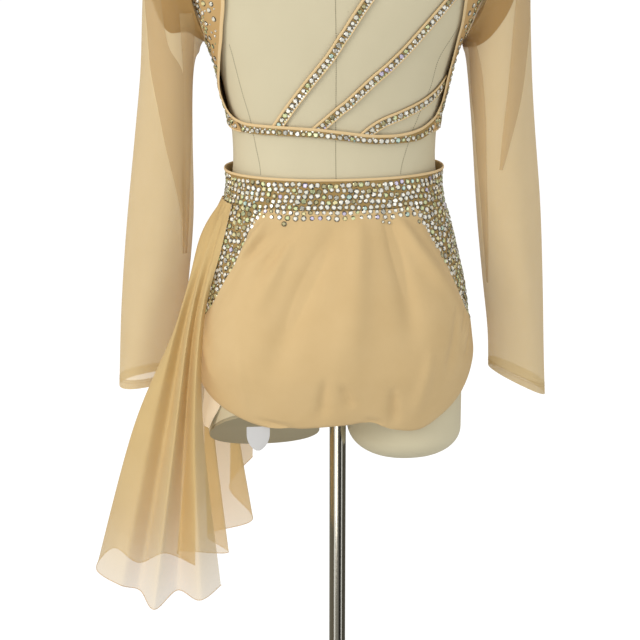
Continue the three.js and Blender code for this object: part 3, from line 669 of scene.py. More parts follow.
FINISHES = {
    "canvas": Canvas(),
    # a grey darker than the canvas: painted shade of the left thigh's cut end
    "board": Woven("board_in_painted_shade", "#b0a68a", "#958b6e", 0.8 * MM, 0.05 * MM, 0.95, 0.05),
    "power_mesh": Woven("beige_power_mesh", "#ccaa75", "#b28d58", 0.7 * MM, 0.06 * MM, 0.8, 0.05),
    "sheer": Woven("sheer_stretch_mesh", "#e4cb99", "#d1b782", alpha=0.72),
    "folded": Woven("folded_stretch_mesh", "#dabb86", "#c7a56e", alpha=0.46),
    "doubled": Woven("doubled_stretch_mesh", "#b48f57", "#9e7a44", alpha=0.84),
    "veil": Tulle(),
    "crepe": Woven("matt_stretch_crepe", "#dabe8e", "#c7a875", 0.9 * MM, 0.07 * MM, 0.85, 0.1, contrast=0.6),
    # darker than the crepe: painted shade, for the stones' shadows on the mesh between them
    "stoned": Woven("mesh_under_stones", "#a98c58", "#846c3e", 0.7 * MM, 0.06 * MM, 0.7, 0.05),
    "binding": Woven("stretch_binding", "#e8cd9e", "#d3b480", 0.6 * MM, 0.05 * MM, 0.7, 0.15),
    "lining": Woven("cream_lining_jersey", "#fdf1da", "#f1e2c4", 0.8 * MM, 0.05 * MM, 0.8, 0.1),
    "label": Satin("white_satin_ribbon", "#d3d3d4"),
    "thread": Satin("grey_stitching_thread", "#7d765c", 0.7),
    "hem_thread": Satin("beige_stitching_thread", "#b99c6c", 0.7),
    "stone": CutStone(),
    "steel": PolishedSteel(),
    "enamel": Enamel(),
}


class Wardrobe:
    """Hands out each finish's material, built once, and makes the costume's objects."""

    def __init__(self) -> None:
        """Starts with no material built."""
        self.built: dict[str, bpy.types.Material] = {}

    def finish(self, name: str) -> bpy.types.Material:
        """The material of a named finish."""
        if name not in self.built:
            self.built[name] = FINISHES[name].build()
        return self.built[name]

    def piece(self, name: str, surface: Surface, finish: str, slot: str, replaces: tuple[str, ...] = (),
              flat_facets: bool = False) -> bpy.types.Object:
        """Makes one piece that rides on the body.

        Args:
            name: The piece's name.
            surface: Its points and faces.
            finish: The name of its finish.
            slot: The record's material slot; not used.
            replaces: CAD nodes that it stands for.
            flat_facets: Whether its faces stay flat, as cut stones do.
        Returns:
            The object, which is at the origin.
        """
        return self.adopt(name, self.mesh(name, surface, flat_facets), finish, replaces)

    def mesh(self, name: str, surface: Surface, flat_facets: bool = False) -> bpy.types.Mesh:
        """A mesh of a surface, with its flat map and its tints."""
        mesh = bpy.data.meshes.new(name)
        loops = np.concatenate([f.ravel() for f in surface.faces]).astype(np.int32)
        sizes = np.concatenate([np.full(len(f), f.shape[1]) for f in surface.faces])
        mesh.vertices.add(len(surface.points))
        mesh.vertices.foreach_set("co", surface.points.astype(np.float32).ravel())
        mesh.loops.add(len(loops))
        mesh.loops.foreach_set("vertex_index", loops)
        mesh.polygons.add(len(sizes))
        mesh.polygons.foreach_set("loop_start", np.r_[0, np.cumsum(sizes)[:-1]].astype(np.int32))
        mesh.update(calc_edges=True)
        flat = surface.flat if surface.flat is not None else surface.points[:, [0, 2]]
        layer = mesh.uv_layers.new(name=FLAT_MAP)
        layer.data.foreach_set("uv", flat[loops].astype(np.float32).ravel())
        if surface.tints is not None:
            tints = mesh.attributes.new(TINT, "FLOAT_COLOR", "FACE")
            tints.data.foreach_set("color", surface.tints.astype(np.float32).ravel())
        if flat_facets:
            mesh.shade_flat()
        else:
            mesh.shade_smooth()
            mesh.set_sharp_from_angle(angle=math.radians(55))
        return mesh

    def adopt(self, name: str, mesh: bpy.types.Mesh, finish: str,
              replaces: tuple[str, ...] = ()) -> bpy.types.Object:
        """Makes an object of a mesh, gives it its finish and puts it on the body."""
        mesh.materials.append(self.finish(finish))
        thing = bpy.data.objects.new(name, mesh)
        bpy.context.scene.collection.objects.link(thing)
        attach(thing, "root")
        if replaces:
            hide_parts(*replaces)
        LOG.info("%s: %d points, %d faces", name, len(mesh.vertices), len(mesh.polygons))
        return thing


WARDROBE = Wardrobe()

# ---- stones and stitches


@dataclass(frozen=True)
class StoneCut:
    """The shape of one foil-backed stone of radius 1: eight sides, sixteen crown facets, a table."""

    sides: int = 8
    rim_radius: float = 1.26
    girdle: float = 0.22
    table_radius: float = 0.66
    table: float = 0.5

    def points(self) -> Array:
        """Rings of points: a flat rim round the stone, which carries painted shadow, the girdle, and the
        table turned by half a side.
        """
        a = circle(self.sides)
        half = a + np.pi / self.sides
        rim = np.stack([np.cos(a) * self.rim_radius, np.sin(a) * self.rim_radius, 0 * a], -1)
        girdle = np.stack([np.cos(a), np.sin(a), 0 * a + self.girdle], -1)
        table = np.stack([np.cos(half), np.sin(half), 0 * a], -1) * self.table_radius
        return np.concatenate([rim, girdle, table + (0, 0, self.table)])

    def faces(self) -> list[Array]:
        """Side quads, crown triangles, and the table and base outlines."""
        n = self.sides
        i = np.arange(n)
        j = (i + 1) % n
        side = np.stack([i, j, n + j, n + i], -1)
        crown = np.concatenate([np.stack([n + i, n + j, 2 * n + i], -1),
                                np.stack([n + j, 2 * n + j, 2 * n + i], -1)])
        caps = np.stack([2 * n + i, i[::-1]])
        return [side, crown, caps]


class Stones:
    """Collects stones for one piece and sets them on the cloth."""

    CUT = StoneCut()
    # dark olive: the stone's hidden back, and painted shadow on the rim round each stone
    FOIL_AND_SHADOW = "#4a4129"
    # tint and how often it comes up at the back's middle, then at the sides
    GLASS = (("#fffdf2", 0.54, 0.30), ("#f1efdf", 0.26, 0.18), ("#e0e8b0", 0.07, 0.24),
             ("#f2e7ac", 0.05, 0.17), ("#dcd4f0", 0.02, 0.01), ("#c9e6da", 0.02, 0.02),
             ("#b9b184", 0.06, 0.10))
    # painted reflections on the crown facets: how bright each is, then how often each comes up
    SHADES = (0.08, 0.28, 0.55, 0.85, 1.0)
    SHADE_ODDS = (0.2, 0.18, 0.2, 0.22, 0.2)
    SIDE_Y = 0.085
    SUNK = 0.15 * MM
    LEAN = 0.06

    def __init__(self, name: str, seed: int, out: Callable[[Array, Array], Array] | None = None) -> None:
        """Starts an empty setting with its own random draws.

        Args:
            name: The piece's name.
            seed: What sets its draws apart from the other pieces'.
            out: The cloth's distance out at a turn and a height, for stones placed by these.
        """
        self.name = name
        self.out = out
        self.rng = np.random.default_rng(SEED + seed)
        self.centres: list[Array] = []
        self.normals: list[Array] = []
        self.radii: list[Array] = []

    def add(self, centres: Array, normals: Array, radii: Array) -> None:
        """Adds stones at these places, with these radii in metres."""
        self.centres.append(centres.reshape(-1, 3))
        self.normals.append(normals.reshape(-1, 3))
        self.radii.append(np.broadcast_to(radii, len(self.centres[-1])))

    def on_body(self, turn: Array, z: Array, radii: Array) -> None:
        """Adds stones on the cloth at these turns and heights."""
        self.add(BODY.place(turn, z, self.out(turn, z)), BODY.normal(turn, z), radii)

    def row(self, turn: Array, z: Array, pitch: float, radius: float, jitter: float) -> None:
        """Sews a row of stones at even steps along a path on the body, each a little off it.

        Args:
            turn: The path's turns.
            z: The path's heights.
            pitch: The step from stone to stone.
            radius: A stone's radius.
            jitter: How far a stone may be off its place, along and across the row.
        """
        path = BODY.place(turn, z, self.out(turn, z))
        at = resampled(path, pitch)
        at = np.clip(at + self.rng.normal(0, 0.35 * jitter / pitch, len(at)), 0, len(path) - 1.001)
        index = np.arange(len(turn))
        turns, heights = np.interp(at, index, turn), np.interp(at, index, z)
        heights = heights + self.rng.uniform(-jitter, jitter, len(at))
        self.on_body(turns, heights, radius * self.rng.uniform(0.86, 1.1, len(at)))

    def fill(self, turn: tuple[float, float], z: tuple[float, float],
             inside: Callable[[Array, Array], Array], radius: tuple[float, float], gap: float,
             tries: int) -> None:
        """Throws stones at a patch of the body and keeps each that clears those already there.

        Args:
            turn: Lowest and highest turn of the patch.
            z: Lowest and highest height.
            inside: A function of turn and height, true where a stone may sit.
            radius: Smallest and largest radius.
            gap: Least space between two stones' rims.
            tries: How many stones are thrown.
        """
        turns = self.rng.uniform(*turn, tries)
        heights = self.rng.uniform(*z, tries)
        sizes = np.sort(self.rng.uniform(*radius, tries))[::-1]
        wanted = inside(turns, heights)
        turns, heights, sizes = turns[wanted], heights[wanted], sizes[wanted]
        spots = BODY.place(turns, heights, self.out(turns, heights))
        kept = np.concatenate([*self.centres, np.zeros((0, 3))])
        kept_sizes = np.concatenate([*self.radii, np.zeros(0)])
        chosen = []
        for i, spot in enumerate(spots):
            reach = np.linalg.norm(kept - spot, axis=-1) - kept_sizes - sizes[i]
            if reach.size == 0 or reach.min() > gap:
                chosen.append(i)
                kept = np.concatenate([kept, spot[None]])
                kept_sizes = np.append(kept_sizes, sizes[i])
        self.on_body(turns[chosen], heights[chosen], sizes[chosen])

    def tints(self, centres: Array) -> list[Array]:
        """A colour for each facet, the glass tint with painted light: painted highlights on most tables,
        painted reflections from dark to bright on the crown facets, and painted shadow on the rims.

        Args:
            centres: The stones' places. Yellow and green ones come up more often near the sides.
        Returns:
            Colours of the rims, the crowns, the tables and the bases.
        """
        n, count = self.CUT.sides, len(centres)
        glass = np.array([linear(code) for code, _, _ in self.GLASS])
        middle, side = (np.cumsum([row[k] for row in self.GLASS]) for k in (1, 2))
        share = 1 - smooth(0.3, 1, np.abs(centres[:, 1]) / self.SIDE_Y)[:, None]
        bounds = lerp(middle / middle[-1], side / side[-1], share)
        picks = (self.rng.random((count, 1)) > bounds).sum(1)
        own = glass[np.minimum(picks, len(glass) - 1)][:, None, :3]
        # painted reflections: each crown facet darkened at random
        crown = self.rng.choice(self.SHADES, (count, 2 * n, 1), p=self.SHADE_ODDS)
        # painted highlights: most tables at full brightness
        table = self.rng.choice([0.5, 0.85, 1.0], (count, 1, 1), p=[0.1, 0.25, 0.65])
        # painted shadow on the rims; the hidden bases take the same dark colour
        rim = np.broadcast_to(linear(self.FOIL_AND_SHADOW)[:3], (count, n, 3))
        base = np.broadcast_to(linear(self.FOIL_AND_SHADOW)[:3], (count, 1, 3))
        colours = [rim, own * crown, own * table, base]
        return [np.concatenate([c, np.ones((*c.shape[:2], 1))], -1) for c in colours]

    def surface(self) -> Surface:
        """All the stones as one surface, each turned at random about its own normal."""
        centres, normals = np.concatenate(self.centres), np.concatenate(self.normals)
        radii = np.concatenate(self.radii)
        count = len(centres)
        lean = self.rng.normal(0, self.LEAN, (count, 3))
        up = unit(normals + lean)
        side = unit(np.cross(up, self.rng.normal(0, 1, (count, 3))))
        other = np.cross(up, side)
        shape = self.CUT.points()
        local = shape[None] * radii[:, None, None]
        points = (centres - normals * self.SUNK)[:, None] + local[..., :1] * side[:, None]
        points = points + local[..., 1:2] * other[:, None] + local[..., 2:] * up[:, None]
        faces = repeated(self.CUT.faces(), count, len(shape))
        rim, crown, table, base = self.tints(centres)
        caps = np.concatenate([table, base], 1)
        tints = np.concatenate([t.reshape(-1, 4) for t in (rim, crown, caps)])
        return Surface(points.reshape(-1, 3), faces, None, tints)

    def set_on(self) -> bpy.types.Object:
        """Makes the piece."""
        return WARDROBE.piece(self.name, self.surface(), "stone", "rhinestone", flat_facets=True)


def stitches(path: Array, outward: Array, pitch: float, length: float, width: float) -> Surface:
    """A row of stitches along a path: each is a short six-sided bead, pointed at both ends."""
    at = resampled(path, pitch)
    places, up = read_path(path, at), unit(read_path(outward, at))
    along = unit(np.gradient(places, axis=0))
    across = np.cross(along, up)
    sides = 6
    a = circle(sides)
    rings = []
    for reach, girth in ((-0.5, 0.3), (-0.3, 1.0), (0.3, 1.0), (0.5, 0.3)):
        ring = places[:, None] + along[:, None] * (reach * length)
        ring = ring + across[:, None] * (np.cos(a) * width / 2 * girth)[:, None]
        rings.append(ring + up[:, None] * (np.sin(a) * width / 3 * girth)[:, None])
    beads = np.stack(rings, 1)
    count = len(rings)
    body = grid_faces(count, sides, True)
    caps = np.stack([np.arange(sides)[::-1], np.arange(sides) + (count - 1) * sides])
    faces = repeated([body, caps], len(places), count * sides)
    surface = Surface(beads.reshape(-1, 3), faces)
    a0, b0, c0 = (surface.points[body[0, k]] for k in range(3))
    if (np.cross(b0 - a0, c0 - a0) * (a0 - places[0])).sum() < 0:
        surface.faces = [f[:, ::-1] for f in faces]
    return surface


# ---- the dress form and its stand


def stack(rings: Array) -> Surface:
    """A closed solid of rings, [ring, point, xyz], with a flat outline at each end."""
    count, sides = rings.shape[:2]
    ends = np.stack([np.arange(sides)[::-1], np.arange(sides) + (count - 1) * sides])
    return facing_out(Surface(rings.reshape(-1, 3), [grid_faces(count, sides, True), ends]))


def turned(profile: Array, sides: int, centre_x: float = 0.0) -> Surface:
    """A solid turned on a lathe: radius and height of each row, about a vertical axis.

    Args:
        profile: Rows of (radius, height), the first and last with a radius of 0.
        sides: Points round the axis.
        centre_x: The axis's place in X.
    Returns:
        The solid, with a point at each pole.
    """
    a = circle(sides)
    r, z = profile[1:-1, :1], profile[1:-1, 1:]
    rings = np.stack(np.broadcast_arrays(r * np.cos(a) + centre_x, r * np.sin(a), z), -1)
    poles = np.array([[centre_x, 0, profile[0, 1]], [centre_x, 0, profile[-1, 1]]])
    i = np.arange(sides)
    j = (i + 1) % sides
    foot, last = rings.shape[0] * sides, (rings.shape[0] - 1) * sides
    fans = np.concatenate([np.stack([0 * i + foot, j, i], -1),
                           np.stack([0 * i + foot + 1, last + i, last + j], -1)])
    points = np.concatenate([rings.reshape(-1, 3), poles])
    around = np.r_[np.tile(i / sides * 2 * np.pi * r.max(), len(r)), 0, 0]
    flat = np.stack([around, points[:, 2]], -1)
    return facing_out(Surface(points, [grid_faces(len(r), sides, True), fans], flat))


def rounded(profile: Array, radius: float, count: int = 5) -> Array:
    """A profile whose inner corners are rounded: each becomes a short quadratic curve."""
    before, corner, after = profile[:-2], profile[1:-1], profile[2:]
    back, ahead = before - corner, after - corner
    reach_back = np.minimum(radius, np.linalg.norm(back, axis=-1) / 2)[:, None]
    reach_ahead = np.minimum(radius, np.linalg.norm(ahead, axis=-1) / 2)[:, None]
    start, end = corner + unit(back) * reach_back, corner + unit(ahead) * reach_ahead
    t = steps(count - 1)[None, :, None]
    curve = start[:, None] * (1 - t) ** 2 + corner[:, None] * 2 * t * (1 - t) + end[:, None] * t**2
    return np.concatenate([profile[:1], curve.reshape(-1, 2), profile[-1:]])


def carved(base: Surface, steps_taken: tuple[tuple[str, Surface], ...]) -> bpy.types.Mesh:
    """A closed surface with others joined to it, cut from it or kept in common with it.

    Args:
        base: The surface to start from.
        steps_taken: Each step's Boolean operation and the surface it works with.
    Returns:
        The result as a mesh with no modifier.
    """
    scene = bpy.context.scene
    helpers = []
    for surface in (base, *(s for _, s in steps_taken)):
        thing = bpy.data.objects.new("carving", WARDROBE.mesh("carving", surface))
        scene.collection.objects.link(thing)
        helpers.append(thing)
    for (operation, _), helper in zip(steps_taken, helpers[1:]):
        modifier = helpers[0].modifiers.new(operation, "BOOLEAN")
        modifier.operation, modifier.solver, modifier.object = operation, "EXACT", helper
    graph = bpy.context.evaluated_depsgraph_get()
    mesh = bpy.data.meshes.new_from_object(helpers[0].evaluated_get(graph))
    for helper in helpers:
        bpy.data.objects.remove(helper)
    return mesh


@dataclass
class Form:
    """The dress form: a padded canvas body and two thigh stubs, the left one cut on a slant."""

    sides: int = 160
    foot: float = FORM_FOOT
    top: float = NECK_TOP
    stub_sides: int = 96
    stub_back: float = 0.073
    stub_front: float = 0.064
    stub_foot: float = 0.646
    stub_dome: float = 0.036
    stub_top: float = 0.755
    left_x: float = -0.090
    left_half: float = 0.067
    right_x: float = 0.081
    right_half: float = 0.069
    cut_place: tuple[float, float, float] = (-0.091, 0.062, 0.6345)
    cut_tilt: float = 34.0
    cut_width: float = 0.157
    board: float = 3 * MM
    mean_radius: float = 0.14
    seams: tuple = (
        ((-2.4, 1.300), (-2.5, 1.200), (-2.7, 1.090), (-2.7, 1.040), (-2.6, 1.002)),
        ((-57.4, 1.150), (-58.6, 1.122), (-57.9, 1.100), (-55.2, 1.071), (-52.8, 1.044), (-48.0, 1.004)),
        ((60.2, 1.165), (53.0, 1.134), (52.0, 1.104), (47.0, 1.077), (41.4, 1.052), (33.0, 1.004)),
    )

    def torso(self) -> Surface:
        """The body: the skin's superellipse at each height."""
        z, turn = np.meshgrid(steps(150, self.foot, self.top),
                              circle(self.sides, 360), indexing="ij")
        return stack(BODY.skin(turn, z))

    def stub(self, x: float, half: float) -> Surface:
        """A thigh stub: a superellipse column on a rounded lower end, whose ring shrinks by a sine."""
        a = np.radians(steps(14, 8, 90))
        scale = np.r_[np.sin(a) ** 0.8, np.ones(6)][:, None]
        z = np.r_[self.stub_foot + self.stub_dome * (1 - np.cos(a)),
                  steps(5, self.stub_foot + self.stub_dome + 4 * MM, self.stub_top)][:, None]
        turn = np.radians(circle(self.stub_sides, 360))
        cos, sin = np.cos(turn), np.sin(turn)
        depth = np.where(cos > 0, self.stub_back, self.stub_front)
        return stack(np.stack(np.broadcast_arrays(
            x + half * scale * BODY.power(sin), -depth * scale * BODY.power(cos), z), -1))

    def slanted_block(self, below: float, height: float) -> Surface:
        """A block whose slanted upper face lies this far below the left thigh's cut."""
        x, y = self.cut_width / 2, 0.2
        corners = np.array([(-x, -y), (x, -y), (x, y), (-x, y)])
        tilt = math.radians(self.cut_tilt)
        levels = [np.c_[corners, np.full(4, -below - h)] for h in (height, 0.0)]
        points = np.concatenate(levels)
        leaned = np.stack([points[:, 0], points[:, 1] * math.cos(tilt) + points[:, 2] * math.sin(tilt),
                           points[:, 2] * math.cos(tilt) - points[:, 1] * math.sin(tilt)], -1)
        return stack((leaned + self.cut_place).reshape(2, 4, 3))

    def wrap(self, mesh: bpy.types.Mesh) -> None:
        """Gives a mesh a flat map wound round the stand: arc length at the mean radius, and height."""
        points = np.empty(len(mesh.vertices) * 3, np.float32)
        mesh.vertices.foreach_get("co", points)
        points = points.reshape(-1, 3)
        loops = np.empty(len(mesh.loops), np.int32)
        mesh.loops.foreach_get("vertex_index", loops)
        starts = np.empty(len(mesh.polygons), np.int32)
        mesh.polygons.foreach_get("loop_start", starts)
        angle = np.arctan2(points[loops, 0], -points[loops, 1])
        face = np.searchsorted(starts, np.arange(len(loops)), side="right") - 1
        highest = np.maximum.reduceat(angle, starts)[face]
        angle = np.where(angle < highest - np.pi, angle + 2 * np.pi, angle)
        flat = np.stack([angle * self.mean_radius, points[loops, 2]], -1)
        layer = mesh.uv_layers.get(FLAT_MAP) or mesh.uv_layers.new(name=FLAT_MAP)
        layer.data.foreach_set("uv", flat.astype(np.float32).ravel())
        mesh.shade_smooth()
        mesh.set_sharp_from_angle(angle=math.radians(38))

    def body(self) -> bpy.types.Object:
        """The body with its stubs."""
        mesh = carved(self.torso(), (
            ("UNION", self.stub(self.left_x, self.left_half)),
            ("DIFFERENCE", self.slanted_block(0, 0.2)),
            ("UNION", self.stub(self.right_x, self.right_half))))
        self.wrap(mesh)
        form = WARDROBE.adopt("padded_canvas_form", mesh, "canvas", ("dress_form",))
        return form

    def thigh_board(self) -> bpy.types.Object:
        """The board that closes the left thigh."""
        mesh = carved(self.torso(), (
            ("UNION", self.stub(self.left_x, self.left_half)),
            ("INTERSECT", self.slanted_block(SEAM, self.board))))
        self.wrap(mesh)
        # the board's grey finish is painted shade
        return WARDROBE.adopt("thigh_board", mesh, "board", ("thigh_cap",))

    def seam_stitches(self) -> bpy.types.Object:
        """The canvas's seams: a row of stitches along the centre seam and each princess seam."""
        rows = []
        for seam in self.seams:
            z, turn = columns(seam[::-1], 1, 0)
            heights = steps(160, z[0], z[-1])
            turns = Curve(z, turn)(heights)
            path, outward = BODY.place(turns, heights, 0.15 * MM), BODY.normal(turns, heights)
            rows.append(stitches(path, outward, 2.4 * MM, 1.9 * MM, 0.7 * MM))
        return WARDROBE.piece("form_seam_stitches", join(rows), "thread", "thread")

    def build(self) -> None:
        """Makes the form."""
        self.body()
        self.thigh_board()
        self.seam_stitches()


@dataclass
class Stand:
    """The stand: a round enamelled base, a chromed pole, a collar, and the form's neck cap."""

    base_radius: float = 0.175
    base_height: float = 0.012
    pole_radius: float = 0.010
    pole_top: float = 0.713
    neck_top: float = NECK_TOP

    def turn_piece(self, name: str, profile: list, finish: str, slot: str, node: str, soft: float,
                   centre_x: float = 0.0) -> None:
        """Turns one piece of the stand from its profile, in metres."""
        outline = rounded(np.array(profile, float), soft)
        WARDROBE.piece(name, turned(outline, 96, centre_x), finish, slot, (node,))

    def build(self) -> None:
        """Makes the stand's four pieces."""
        r, h, pole = self.base_radius, self.base_height, self.pole_radius
        foot, top, neck = h + 30 * MM + SEAM, self.pole_top, self.neck_top
        self.turn_piece("round_base", [
            (0, 0), (r, 0), (r, h - 5 * MM), (r - 5 * MM, h), (0.04, h + 3 * MM), (0.022, h + 26 * MM),
            (pole + 3 * MM, h + 30 * MM), (0, h + 30 * MM)], "enamel", "enamel", "stand_base", 2 * MM)
        self.turn_piece("chromed_pole", [(0, foot), (pole, foot), (pole, top), (0, top)],
                        "steel", "chrome_pole", "stand_pole", 0.5 * MM)
        self.turn_piece("pole_socket", [(0, top + SEAM), (pole + MM, top + SEAM),
                                        (pole + MM, FORM_FOOT - SEAM), (0, FORM_FOOT - SEAM)],
                        "enamel", "enamel", "pole_collar", 0.5 * MM)
        self.turn_piece("neck_knob", [
            (0, neck + SEAM), (0.048, neck + SEAM), (0.048, neck + 6 * MM), (0.040, neck + 10 * MM),
            (0.009, neck + 12 * MM), (0.009, neck + 24 * MM), (0.014, neck + 30 * MM),
            (0.012, neck + 40 * MM), (0, neck + 44 * MM)],
            "enamel", "enamel", "neck_cap", 2.5 * MM, BODY.CENTRE_X)


# ---- the bodice

UNDERARM = 1.150
SHOULDER_TIP = 1.324
# height, turn of the armhole's edge from the centre back
ARM_BACK = Curve(*columns((
    (1.150, 89.9), (1.154, 83), (1.162, 77), (1.180, 73), (1.240, 72), (1.280, 74), (1.305, 79),
    (1.318, 84), (1.324, 89.9))))
ARM_FRONT = Curve(*columns((
    (1.150, 90.1), (1.156, 98), (1.175, 105), (1.210, 111), (1.250, 112), (1.290, 107),
    (1.315, 98), (1.324, 90.1))))


def at_armhole(z: Array) -> Array:
    """Whether each height is between the underarm and the shoulder's tip."""
    return (z > UNDERARM) & (z < SHOULDER_TIP)


def panel_side(z: Array) -> Array:
    """The turn of a side-back panel's outer edge: the armhole's, or the side seam's."""
    return np.where(at_armhole(z), ARM_BACK(z), SIDE_TURN)


def shoulder_ease(z: Array) -> Array:
    """Extra ease where the cloth bends over the shoulders."""
    return 1.8 * MM * smooth(1.280, 1.330, z)


@dataclass
class Laid:
    """Cloth laid on the body: grids of its turns, its heights and its distances out."""

    turn: Array
    z: Array
    out: Array

    def grid(self, more: Array | float = 0.0) -> Array:
        """The cloth's points, moved out by this much more."""
        return BODY.place(self.turn, self.z, self.out + more)

    def edge(self, row: int | slice, col: int | slice) -> "Laid":
        """One row or one column of the cloth, as a path."""
        return Laid(self.turn[row, col], self.z[row, col], self.out[row, col])

    def armhole(self) -> slice:
        """The rows whose ends lie along the armholes."""
        rows = np.flatnonzero(at_armhole(self.z[:, 0]))
        return slice(rows[0], rows[-1] + 1)

    def normals(self) -> Array:
        """The body's normals at the cloth."""
        return BODY.normal(self.turn, self.z)


FORM_PIECE = "padded_canvas_form"


def sheet(name: str, surface: Surface, finish: str, slot: str, node: str,
          extras: tuple[bpy.types.Object, ...] = (), held: str = "stretched",
          rests_on: tuple[str, ...] = (FORM_PIECE,)) -> bpy.types.Object:
    """Args:
        name: The sheet's name.
        surface: Its points and faces.
        finish: The name of its finish.
        slot: The record's material slot.
        node: The CAD node that it stands for.
        extras: Bindings, stones and stitches on it; not used.
        held: How it is held; not used.
        rests_on: The pieces that it lies on or hangs from; not used.
    Returns:
        The sheet.
    """
    piece = WARDROBE.piece(name, surface, finish, slot, (node,))
    return piece


def bound(name: str, laid: list[Laid], width: float, height: float, thick: float = FINE) -> bpy.types.Object:
    """A binding sewn along one or more edges of cloth, as one piece."""
    strips = [sweep(e.grid(thick / 2), e.normals(), rounded_profile(width, height)) for e in laid]
    return WARDROBE.piece(name, join(strips), "binding", "binding")


@dataclass
class Bodice:
    """The cropped bodice: a scooped front, two side-back panels, and the band that closes it low."""

    foot: float = 1.048
    foot_rise: dict = field(default_factory=lambda: {
        Side.LEFT: (3.2 * MM, 6 * MM), Side.RIGHT: (0.0, 9 * MM)})
    binding_width: float = 4.8 * MM
    binding_height: float = 1.4 * MM
    band_binding: float = 3.5 * MM
    band_corner: float = 1.0655
    hem_binding: float = 1.8 * MM
    # row from the hem up, height at the centre, height of the side edge, how the row scoops
    front_rows: tuple = (
        (0, 1.048, 1.057, 4.0), (1, 1.085, 1.100, 1.0), (2, 1.122, 1.150, 1.1), (3, 1.155, 1.185, 1.2),
        (4, 1.185, 1.222, 1.3), (5, 1.212, 1.260, 1.5), (6, 1.236, 1.298, 1.7), (7, 1.254, 1.324, 2.0),
        (8, 1.270, 1.364, 2.4),
    )
    # height, turn of the back opening's edge, how far the edge stands off
    opening: dict = field(default_factory=lambda: {
        Side.LEFT: ((1.048, 62, 0), (1.062, 67, 1), (1.075, 74, 4), (1.100, 76, 6), (1.130, 69.5, 3),
                    (1.167, 57, 0), (1.201, 48, 0), (1.240, 46, 0), (1.280, 43, 0), (1.315, 43, 0),
                    (1.345, 50, 0), (1.364, 74, 0)),
        Side.RIGHT: ((1.048, 62, 0), (1.066, 63, 0), (1.080, 67, 1), (1.100, 66, 2), (1.128, 67, 1),
                     (1.163, 61.5, 0), (1.198, 54, 0), (1.240, 50, 0), (1.280, 46, 0), (1.315, 44, 0),
                     (1.345, 50, 0), (1.364, 74, 0)),
    })
    # turn, top edge, lower edge
    band_rows: tuple = (
        (-61.4, 1.061, 1.051), (-47, 1.0605, 1.0505), (-29, 1.060, 1.0505), (-10, 1.058, 1.049),
        (1.5, 1.054, 1.045), (13, 1.050, 1.041), (31, 1.049, 1.0395), (47, 1.0535, 1.041),
        (61.4, 1.063, 1.048),
    )

    def front(self) -> Laid:
        """The front: rows between hem and neckline, each bent up to its sides by its scoop."""
        row, centre, side, scoop = columns(self.front_rows)
        v, t = np.meshgrid(8 * steps(64), steps(120, -1, 1), indexing="ij")
        edge = Curve(row, side)(v)
        side_turn = np.where(at_armhole(edge), ARM_FRONT(edge), 180 - SIDE_TURN)
        z = lerp(Curve(row, centre)(v), edge, np.abs(t) ** Curve(row, scoop)(v))
        return Laid(180 - t * (180 - side_turn), z, UPON + shoulder_ease(z))

    def opening_edge(self, side: Side) -> tuple[Curve, Curve]:
        """The turn of the back opening's edge, and how far it stands off, by height."""
        z, turn, off = columns(self.opening[side])
        return Curve(z, turn), Curve(z, off * MM)

    def panel(self, side: Side) -> Laid:
        """A side-back panel, from the opening's edge to the side seam and the armhole."""
        inner, off = self.opening_edge(side)
        z, t = np.meshgrid(steps(110, self.foot, inner.keys[-1]), steps(28), indexing="ij")
        near, far = self.foot_rise[side]
        z = z + (near + far * t**2) * (1 - smooth(self.foot, self.foot + 0.05, z))
        turn = side.value * lerp(inner(z), panel_side(z), t)
        return Laid(turn, z, UPON + shoulder_ease(z) + off(z) * (1 - t))

    def band(self) -> Laid:
        """The low band between its two edges."""
        turn_row, top, foot = columns(self.band_rows)
        v, turn = np.meshgrid(steps(8), steps(220, turn_row[0], turn_row[-1]), indexing="ij")
        z = lerp(Curve(turn_row, foot)(turn), Curve(turn_row, top)(turn), v)
        return Laid(turn, z, np.full(z.shape, UPON))

    def build_front(self) -> None:
        """Makes the front, with bindings at the neckline, the armholes and the hem."""
        front = self.front()
        span = front.armhole()
        trim = bound("front_bindings", [front.edge(-1, slice(None)), front.edge(0, slice(None)),
                                        front.edge(span, 0), front.edge(span, -1)],
                     self.binding_width, self.binding_height)
        sheet("bodice_front_mesh", shell(front.grid(), FINE), "power_mesh", "power_mesh",
              "bodice_front", (trim,))

    def build_panel(self, side: Side) -> None:
        """Makes a side-back panel with its bindings and its stones."""
        panel = self.panel(side)
        edges = [panel.edge(panel.armhole(), -1), panel.edge(0, slice(None))]
        trim = bound(f"panel_bindings_{side.word}", edges, self.hem_binding, self.binding_height)
        sheet(f"side_panel_mesh_{side.word}", shell(panel.grid(), FINE), "power_mesh", "power_mesh",
              f"side_panel_{side.word}", (trim, self.panel_stones(side)))

    def opening_binding(self) -> bpy.types.Object:
        """The binding round the open back: down one panel, along the low band, up the other."""
        runs = []
        for side in Side:
            inner, off = self.opening_edge(side)
            z = steps(150, self.band_corner, inner.keys[-1])
            runs.append(Laid(side.value * inner(z), z, UPON + shoulder_ease(z) + off(z)))
        turn_row, top = columns(self.band_rows, 0, 1)
        turn = steps(200, turn_row[0] + 2, turn_row[-1] - 2)
        low = Laid(turn, Curve(turn_row, top)(turn), np.full(len(turn), UPON))
        path = np.concatenate([runs[0].grid(FINE / 2)[::-1], low.grid(FINE / 2), runs[1].grid(FINE / 2)])
        up = np.concatenate([runs[0].normals()[::-1], low.normals(), runs[1].normals()])
        at = resampled(path, 1.5 * MM)
        path, up = (evened(read_path(line, at), 14) for line in (path, up))
        widths = lerp(self.band_binding, self.binding_width, smooth(1.062, 1.12, path[:, 2]))
        strip = sweep(path, unit(up), rounded_profile(1.0, self.binding_height), widths=widths)
        return WARDROBE.piece("opening_binding", strip, "binding", "binding")

